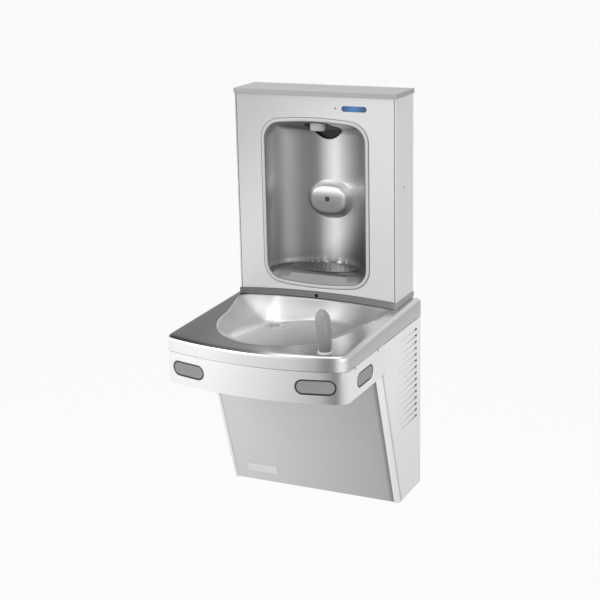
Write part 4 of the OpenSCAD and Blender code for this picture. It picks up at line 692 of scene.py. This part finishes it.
def add_hole_shade():
    """A dark plate behind the hole in the alcove's ceiling: painted shade for the shadow inside the hole."""
    verts = [(x, y, z) for y in HOLE_SHADE_Y for x, z in HOLE_SHADE]
    piece("hole_shade_plate", verts, closed_faces(len(HOLE_SHADE), 2), ["dark"])


def add_grille_shade():
    """A dark plate under the grille's holes: painted shade for the shadow beneath them."""
    verts = [(x, y, z) for z in GRILLE_SHADE_Z for x, y in ellipse(*GRILLE_SHADE, GRILLE_SHADE_POINTS)]
    piece("grille_shade_plate", verts, closed_faces(GRILLE_SHADE_POINTS, 2), ["dark"])


def outside_is_away(obj, origin):
    """Whether the faces look away from a point inside."""
    centre = Vector(origin) * MM
    total = sum((f.center - centre).dot(f.normal) for f in obj.data.polygons)
    return total > 0


def wall_y(x):
    """Where the alcove's round back stands."""
    return -FILLER_D + (FILLER_D + BACK_Y) * np.sqrt(1 - (x / OPEN_A) ** 2)


# The nose's oval face and its foot, as half width, half height and middle.
NOSE_POINTS, NOSE_RINGS = 96, 18
NOSE_FACE, NOSE_FOOT = (40.0, 26.0, SENSOR_Z - 1), (60.0, 49.0, SENSOR_Z - 5)
FACE_POWER, POWER_FALL, FOOT_SINK = 2.4, 0.3, 0.6


def add_nose():
    """The sensor's nose: a flat oval face that swells into the alcove's back."""
    n, rings = NOSE_POINTS, []
    angle = np.linspace(0, 2 * math.pi, n, endpoint=False)

    def oval(a, b, centre, power):
        """An oval that is squarer with a higher power."""
        c, s = np.cos(angle), np.sin(angle)
        r = (np.abs(c / a) ** power + np.abs(s / b) ** power) ** (-1 / power)
        return np.column_stack([r * c, centre + r * s])

    face_a, face_b, face_c = NOSE_FACE
    foot_a, foot_b, foot_c = NOSE_FOOT
    for share in (0.18, 0.45, 0.7, 0.9, 1.0):
        p = oval(face_a * share, face_b * share, face_c + (SENSOR_Z - face_c) * (1 - share), FACE_POWER)
        rings.append(np.column_stack([p[:, 0], np.full(n, NOSE_FRONT), p[:, 1]]))
    for k in range(1, NOSE_RINGS + 1):
        r = k / NOSE_RINGS
        t = r * math.pi / 2
        s = math.sin(t) ** 0.85
        p = oval(face_a + (foot_a - face_a) * s, face_b + (foot_b - face_b) * s,
                 face_c + (foot_c - face_c) * s, FACE_POWER - POWER_FALL * s)
        depth = s * s * (3 - 2 * s) * r + (1 - r) * (1 - math.cos(t))
        reach = wall_y(p[:, 0]) + FOOT_SINK - NOSE_FRONT
        rings.append(np.column_stack([p[:, 0], NOSE_FRONT + reach * depth, p[:, 1]]))
    centre = (0.0, NOSE_FRONT, SENSOR_Z)
    verts = [tuple(v) for ring in rings for v in ring] + [centre]
    faces = loop_faces(n, len(rings)) + [((i + 1) % n, i, len(verts) - 1) for i in range(n)]
    back = [(x, BACK_Y + 2.0, z) for x, _, z in rings[-1]]
    start = len(verts)
    verts += back
    last = (len(rings) - 1) * n
    faces += [(last + i, last + (i + 1) % n, start + (i + 1) % n, start + i) for i in range(n)]
    faces.append(tuple(range(start, start + n)))
    piece("alcove_nose", verts, faces, ["nose"], instead=("alcove_shell",), sharp=40.0)


def sweep_ring(name, profile, look, instead=()):
    """A ring round the opening; profile is a closed list of (offset from the opening, y)."""
    base = opening()
    normal = outward(base)
    n = len(base)
    verts = []
    for off, y in profile:
        p = base + normal * off
        verts += [(x, y, z + OPEN_Z) for x, z in p]
    m = len(profile)
    faces = [(k * n + i, k * n + (i + 1) % n, ((k + 1) % m) * n + (i + 1) % n, ((k + 1) % m) * n + i)
             for k in range(m) for i in range(n)]
    piece(name, verts, faces, [look], instead=instead, sharp=50.0)


def add_trim():
    """The light ring round the opening, and thin dark rings at both of its sides that are painted shade for the
    gaps beside it.
    """
    front, back = -117.0, -114.9
    sweep_ring("alcove_trim_ring", [(0.7, back), (0.7, front + 0.9), (1.0, front + 0.3), (1.8, front), (7.2, front),
                                    (8.0, front + 0.3), (8.3, front + 0.9), (8.3, back)], "trim",
               ("alcove_trim",))
    sweep_ring("trim_outer_line", [(8.4, back), (8.4, -116.2), (9.4, -116.1), (9.9, -115.6), (9.9, back)],
               "trim_shade_line")
    sweep_ring("trim_inner_line", [(-0.9, back), (-0.9, -115.9), (-0.4, -116.3), (0.6, -116.3), (0.6, back)],
               "trim_shade_line")


# Basin
BOWL_Y, BOWL_W, BOWL_FRONT, BOWL_TAPER = -260.0, 172.0, 195.0, 0.28
BOWL_BACK = -(LEDGE_D + 0.3) - BOWL_Y
FLAT_W, FLAT_BACK, FLAT_FRONT = 138.0, 128.0, 178.0
DRAIN, DRAIN_Z, DRAIN_FLAT, DRAIN_HOLE = np.array([-80.0, -192.0]), 438.0, 27.0, 16.3
FALL_Y, FALL_X = 0.12, 0.075
SHEET = 1.3


def oval_r(a, b, t):
    return 1 / np.sqrt((np.cos(t) / a) ** 2 + (np.sin(t) / b) ** 2)


def rim_radius(t):
    """The bowl's rim: square at the back, tapered at the sides, oval in front."""
    s, c = np.sin(t), np.abs(np.cos(t))
    back = BOWL_BACK / np.maximum(s, 1e-6)
    side = BOWL_W / np.maximum(c - BOWL_TAPER * s, 1 / BOWL_W)
    soft = (back ** -12.0 + side ** -12.0) ** (-1 / 12.0)
    return np.where(s > 0, soft, oval_r(BOWL_W, BOWL_FRONT, t))


def floor_z(p):
    fall = FALL_Y * np.maximum(0, DRAIN[1] - p[:, 1] + DRAIN_FLAT) + FALL_X * np.maximum(0, p[:, 0] - DRAIN[0])
    return np.minimum(deck_z(p[:, 1]) - 0.8, DRAIN_Z + fall)


def lifted(p):
    """Deck height with the rise to the arched ledge."""
    near = np.maximum(0, 1 - (-LEDGE_D - p[:, 1]) / (LEDGE_D / 2))
    near = np.where(p[:, 1] > -LEDGE_D, 1.0, near)
    return deck_z(p[:, 1]) + ARCH_H * (1 - (p[:, 0] / LEDGE_HALF) ** 2) * near


def add_basin():
    """One pressing from the seam over the rolled edge and the deck into the bowl and its drain."""
    outer = whole_outline(0)
    n = len(outer)
    t = np.arctan2(outer[:, 1] - BOWL_Y, outer[:, 0])
    way = np.column_stack([np.cos(t), np.sin(t)])
    hub = np.array([0.0, BOWL_Y])

    rings, kinds = [], []

    def add(ring, kind):
        """One more ring; its kind is the place in the list of looks: deck, bowl or roll."""
        rings.append(ring)
        kinds.append(kind)

    # the seam's fold and the rolled edge
    for inset, z in ((1.4, SEAM_Z + 0.5), (0.5, SEAM_Z + 0.7), (0.0, SEAM_Z + 1.4)):
        add(np.column_stack([whole_outline(inset), np.full(n, z)]), 2)
    for k in range(13):
        a = math.pi / 2 * k / 12
        p = whole_outline(ROLL_R * (1 - math.cos(a)))
        add(np.column_stack([p, deck_z(p[:, 1]) - ROLL_R + ROLL_R * math.sin(a)]), 2 if k < 6 else 0)
    # the deck, up to the bend into the bowl
    edge = rings[-1]
    flat_r = np.where(np.sin(t) > 0, oval_r(FLAT_W, FLAT_BACK, t), oval_r(FLAT_W, FLAT_FRONT, t))
    rim_p = hub + way * rim_radius(t)[:, None]
    rim = np.column_stack([rim_p, lifted(rim_p)])
    low = hub + way * flat_r[:, None]
    low = np.column_stack([low, floor_z(low)])
    for share in (0.25, 0.5, 0.75, 0.9):
        p = edge[:, :2] * (1 - share) + rim_p * share
        add(np.column_stack([p, deck_z(p[:, 1]) + (rim[:, 2] - deck_z(rim_p[:, 1])) * share ** 2]), 0)
    slope = np.linalg.norm(rim - low, axis=1)
    bend = np.minimum(7.0, slope * 0.35)[:, None]
    for k, ring in enumerate(blend_at(rings[-1], rim, low, bend, 7)):
        add(ring, 0 if k < 3 else 1)
    # the bowl's wall, its floor and the drain
    drain_flat = np.column_stack([DRAIN + DRAIN_FLAT * way, np.full(n, DRAIN_Z)])
    inward = low * 0.8 + drain_flat * 0.2
    inward[:, 2] = floor_z(inward)
    for ring in blend_at(rim, low, inward, np.minimum(10.0, slope * 0.4)[:, None], 7):
        add(ring, 1)
    for share in (0.3, 0.45, 0.6, 0.75, 0.9):
        p = low[:, :2] * (1 - share) + drain_flat[:, :2] * share
        add(np.column_stack([p, floor_z(p)]), 1)
    for radius, drop in ((DRAIN_FLAT, 0.0), (22.0, 0.15), (18.5, 0.9), (DRAIN_HOLE, 1.6)):
        add(np.column_stack([DRAIN + radius * way, np.full(n, DRAIN_Z - drop)]), 1)
    verts = [tuple(v) for ring in rings for v in ring]
    looks = [kind for kind in kinds[1:] for _ in range(n)]
    pan = piece("basin_pan", verts, loop_faces(n, len(rings)), ["deck", "bowl", "roll"],
                instead=("basin",), face_looks=looks, sharp=50.0)
    skin = pan.modifiers.new("skin", "SOLIDIFY")
    skin.thickness = SHEET * MM
    up = sum(f.normal.z * f.area for f in pan.data.polygons)
    skin.offset = -1.0 if up > 0 else 1.0
    bpy.context.view_layer.update()
    apply_modifiers(pan, 50.0)


# Bubbler guard
def add_guard():
    """The tapered hood over the bubbler, with its mouth and the bore for the spout."""
    at = (173.0, -455.0)
    foot = deck_z(at[1] + 17.0) + 4.1
    turn = math.atan2(at[0], BOWL_Y - at[1])
    n, count, height, lean, wide = 64, 46, 90.0, 22.0, 17.5

    def place(u, v, w):
        c, s = math.cos(turn), math.sin(turn)
        return (at[0] + c * u - s * v, at[1] + s * u + c * v, foot + w)

    verts = []
    for k in range(count + 1):
        s = 0.995 * k / count
        swell = 0.76 + 0.24 * math.sin(math.pi / 2 * min(1, 1.6 * s))
        w = wide * swell * math.sqrt(max(0, 1 - max(0, (s - 0.70) / 0.30) ** 2.4))
        for i in range(n):
            a = 2 * math.pi * i / n
            verts.append(place(w * math.cos(a), lean * s * s + w * 0.85 * math.sin(a), height * s))
    verts += [place(0, 0, 0), place(0, lean, height)]
    faces = loop_faces(n, count + 1)
    faces += [((i + 1) % n, i, len(verts) - 2) for i in range(n)]
    faces += [(count * n + i, count * n + (i + 1) % n, len(verts) - 1) for i in range(n)]
    guard = piece("bubbler_hood", verts, faces, ["guard"], instead=("bubbler_guard",))
    cut(guard, [prism("bore", ellipse(0.0, 0.0, 5.6, 5.6, 40), -1.0, 40.0, place),
                prism("mouth", ellipse(0.0, 43.0, 6.0, 12.0, 40), 0.0, 40.0, lambda u, v, w: place(u, w, v))], 40.0)


# Apron, pads and their springs
PAD_W, PAD_H, PAD_X, PAD_Z, SIDE_PAD_Y, SIDE_PAD_Z = 94.0, 35.0, 161.0, 407.0, 362.0, 404.0
PAD_GAP, PAD_STEPS = 0.8, 20
# A cap's section as (inset from its outline, depth behind the apron's face). Its first PAD_RIM strips, the
# sides and rounded edge, are painted shade of the gap round the pad; the points from RIM_DEPTH on stand on a flat
# instead of the bow.
PAD_SECTION = [(-3.0, 5.0), (-3.0, 3.1), (0.0, 3.1), (0.0, 1.7), (0.25, 1.05), (0.9, 0.55), (2.0, 0.25), (3.5, 0.1),
               (6.5, 0.25), (10.0, 0.55), (14.0, 0.75), (16.5, 0.8)]
PAD_RIM, RIM_DEPTH, PAD_SET, BOW_SAG = 7, 3, 0.5, 1.8
# Directions in which the pads press.
PAD_PRESS = {"front_left": (0.230757, 0.973012, 0.0), "front_right": (-0.230757, 0.973012, 0.0),
             "left": (1.0, 0.0, 0.0), "right": (-1.0, 0.0, 0.0)}
APRON_END, APRON_FLOOR_END = -244.0, -272.5


def pad_places():
    """Each pad's name, middle on the apron's face, turn about Z, and whether the face is bowed."""
    turn = math.asin(PAD_X / BOW_R)
    y = BOW_Y - math.sqrt(BOW_R ** 2 - PAD_X ** 2)
    return [("front_left_pad", (-PAD_X, y, PAD_Z), -turn, True), ("front_right_pad", (PAD_X, y, PAD_Z), turn, True),
            ("left_pad", (-HALF_W, -SIDE_PAD_Y, SIDE_PAD_Z), -math.pi / 2, False),
            ("right_pad", (HALF_W, -SIDE_PAD_Y, SIDE_PAD_Z), math.pi / 2, False)]


def placer(middle, turn):
    """A function from (across, back, up) about a pad's middle to a point."""
    c, s = math.cos(turn), math.sin(turn)
    return lambda u, v, w: (middle[0] + c * u - s * v, middle[1] + s * u + c * v, middle[2] + w)


def add_apron():
    """The bowed band with its pad holes, and a floor inside it."""
    low, high = APRON_Z, SEAM_Z
    profile = [(1.5, high - 0.2), (0.5, high - 0.2), (0.15, high - 0.4), (0.0, high - 0.8), (0.0, low + 1.6),
               (0.2, low + 0.8), (0.7, low + 0.2), (1.6, low), (14.0, low), (14.0, low + 1.5), (1.5, low + 1.5)]
    paths = {}
    for off in {p[0] for p in profile}:
        line = whole_outline(off)
        paths[off] = np.vstack([[(HALF_W - off, APRON_END)], line[line[:, 1] < APRON_END],
                                [(-(HALF_W - off), APRON_END)]])
    n, m = len(paths[0.0]), len(profile)
    verts = [(x, y, z) for off, z in profile for x, y in paths[off]]
    faces = [(k * n + i, k * n + i + 1, ((k + 1) % m) * n + i + 1, ((k + 1) % m) * n + i)
             for k in range(m) for i in range(n - 1)]
    faces += [tuple(k * n for k in range(m)), tuple(k * n + n - 1 for k in range(m))[::-1]]
    band = piece("apron_band", verts, faces, ["apron"], instead=("apron",), sharp=40.0)
    tools = [prism("hole", stadium(PAD_W + 2 * PAD_GAP, PAD_H + 2 * PAD_GAP), -6.0, 7.0,
                   lambda u, v, w, p=placer(mid, turn): p(u, w, v)) for _, mid, turn, _ in pad_places()]
    cut(band, tools, 40.0)
    plate = whole_outline(13.0)
    plate = plate[plate[:, 1] < APRON_FLOOR_END]
    verts = [(x, y, z) for z in (low + 0.2, low + 1.4) for x, y in plate]
    piece("apron_floor", verts, closed_faces(len(plate), 2), ["apron"], instead=("apron",))


def add_pads():
    n, last = 2 * PAD_STEPS + 2, len(PAD_SECTION) - 1
    # Strips before PAD_RIM take look 1, the dark painted shade of the pad's gap.
    looks = [1 if k < PAD_RIM else 0 for k in range(last) for _ in range(n)] + [1, 0]
    for name, middle, turn, bowed in pad_places():
        place = placer(middle, turn)
        verts = []
        for off, y in PAD_SECTION:
            for u, w in stadium(PAD_W - 2 * off, PAD_H - 2 * off, PAD_STEPS):
                bow = u * u / (2 * BOW_R) if y < RIM_DEPTH else BOW_SAG
                verts.append(place(u, y + PAD_SET + (bow if bowed else 0.0), w))
        piece(name + "_cap", verts, closed_faces(n, last + 1), ["pad", "pad_edge_shade"], body=name,
              instead=(name,), face_looks=looks, sharp=55.0)


def add_springs():
    """Return springs behind the pads."""
    for side, way in PAD_PRESS.items():
        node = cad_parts[side + "_pad_spring"]
        mesh = node.data.copy()
        mesh.transform(node.matrix_world)
        mesh.materials.clear()
        mesh.materials.append(MATS["spring"])
        obj = add_object(side + "_pad_coil", mesh)
        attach(obj, "cabinet")
        reach = [v.co.dot(Vector(way)) for v in mesh.vertices]
        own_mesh(obj)
        tuple(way)
        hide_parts(side + "_pad_spring")


# Nozzle and display window
PILL_STEPS = 18


def pill_body(name, w, h, rings, place, look, node, sharp):
    """A closed body of stadium rings. rings holds (inset, height), and place(u, v, height) gives a point."""
    verts = [place(u, v, height) for off, height in rings for u, v in stadium(w - 2 * off, h - 2 * off, PILL_STEPS)]
    piece(name, verts, closed_faces(2 * PILL_STEPS + 2, len(rings)), [look], instead=(node,), sharp=sharp)


def add_nozzle():
    rings = [(5.0, 0.0), (2.2, 0.35), (0.9, 1.1), (0.25, 2.4), (0.0, 4.2), (0.0, 23.0), (0.5, 24.0), (6.0, 24.6),
             (6.0, 52.0)]
    pill_body("nozzle_block", 38, 26, rings, lambda u, v, z: (u, v - 92.0, 910.0 + z), "nozzle",
              "fill_nozzle", 50.0)


def add_window():
    rings = [(0.0, -112.0), (0.0, -115.1), (0.2, -115.4), (0.8, -115.55), (2.0, -115.6), (4.5, -115.65)]
    pill_body("window_pill", 64, 13.5, rings, lambda u, v, y: (104.5 + u, y, 969.0 + v), "blue",
              "display_window", 60.0)


add_camera()
add_world()
add_floor()
for lamp in LAMPS:
    add_lamp(*lamp)
SCENE.view_settings.view_transform = "Standard"
dress_nodes()
add_alcove()
add_hole_shade()
add_springs()
add_grille_shade()
add_nose()
add_trim()
add_basin()
add_guard()
add_apron()
add_pads()
add_nozzle()
add_window()
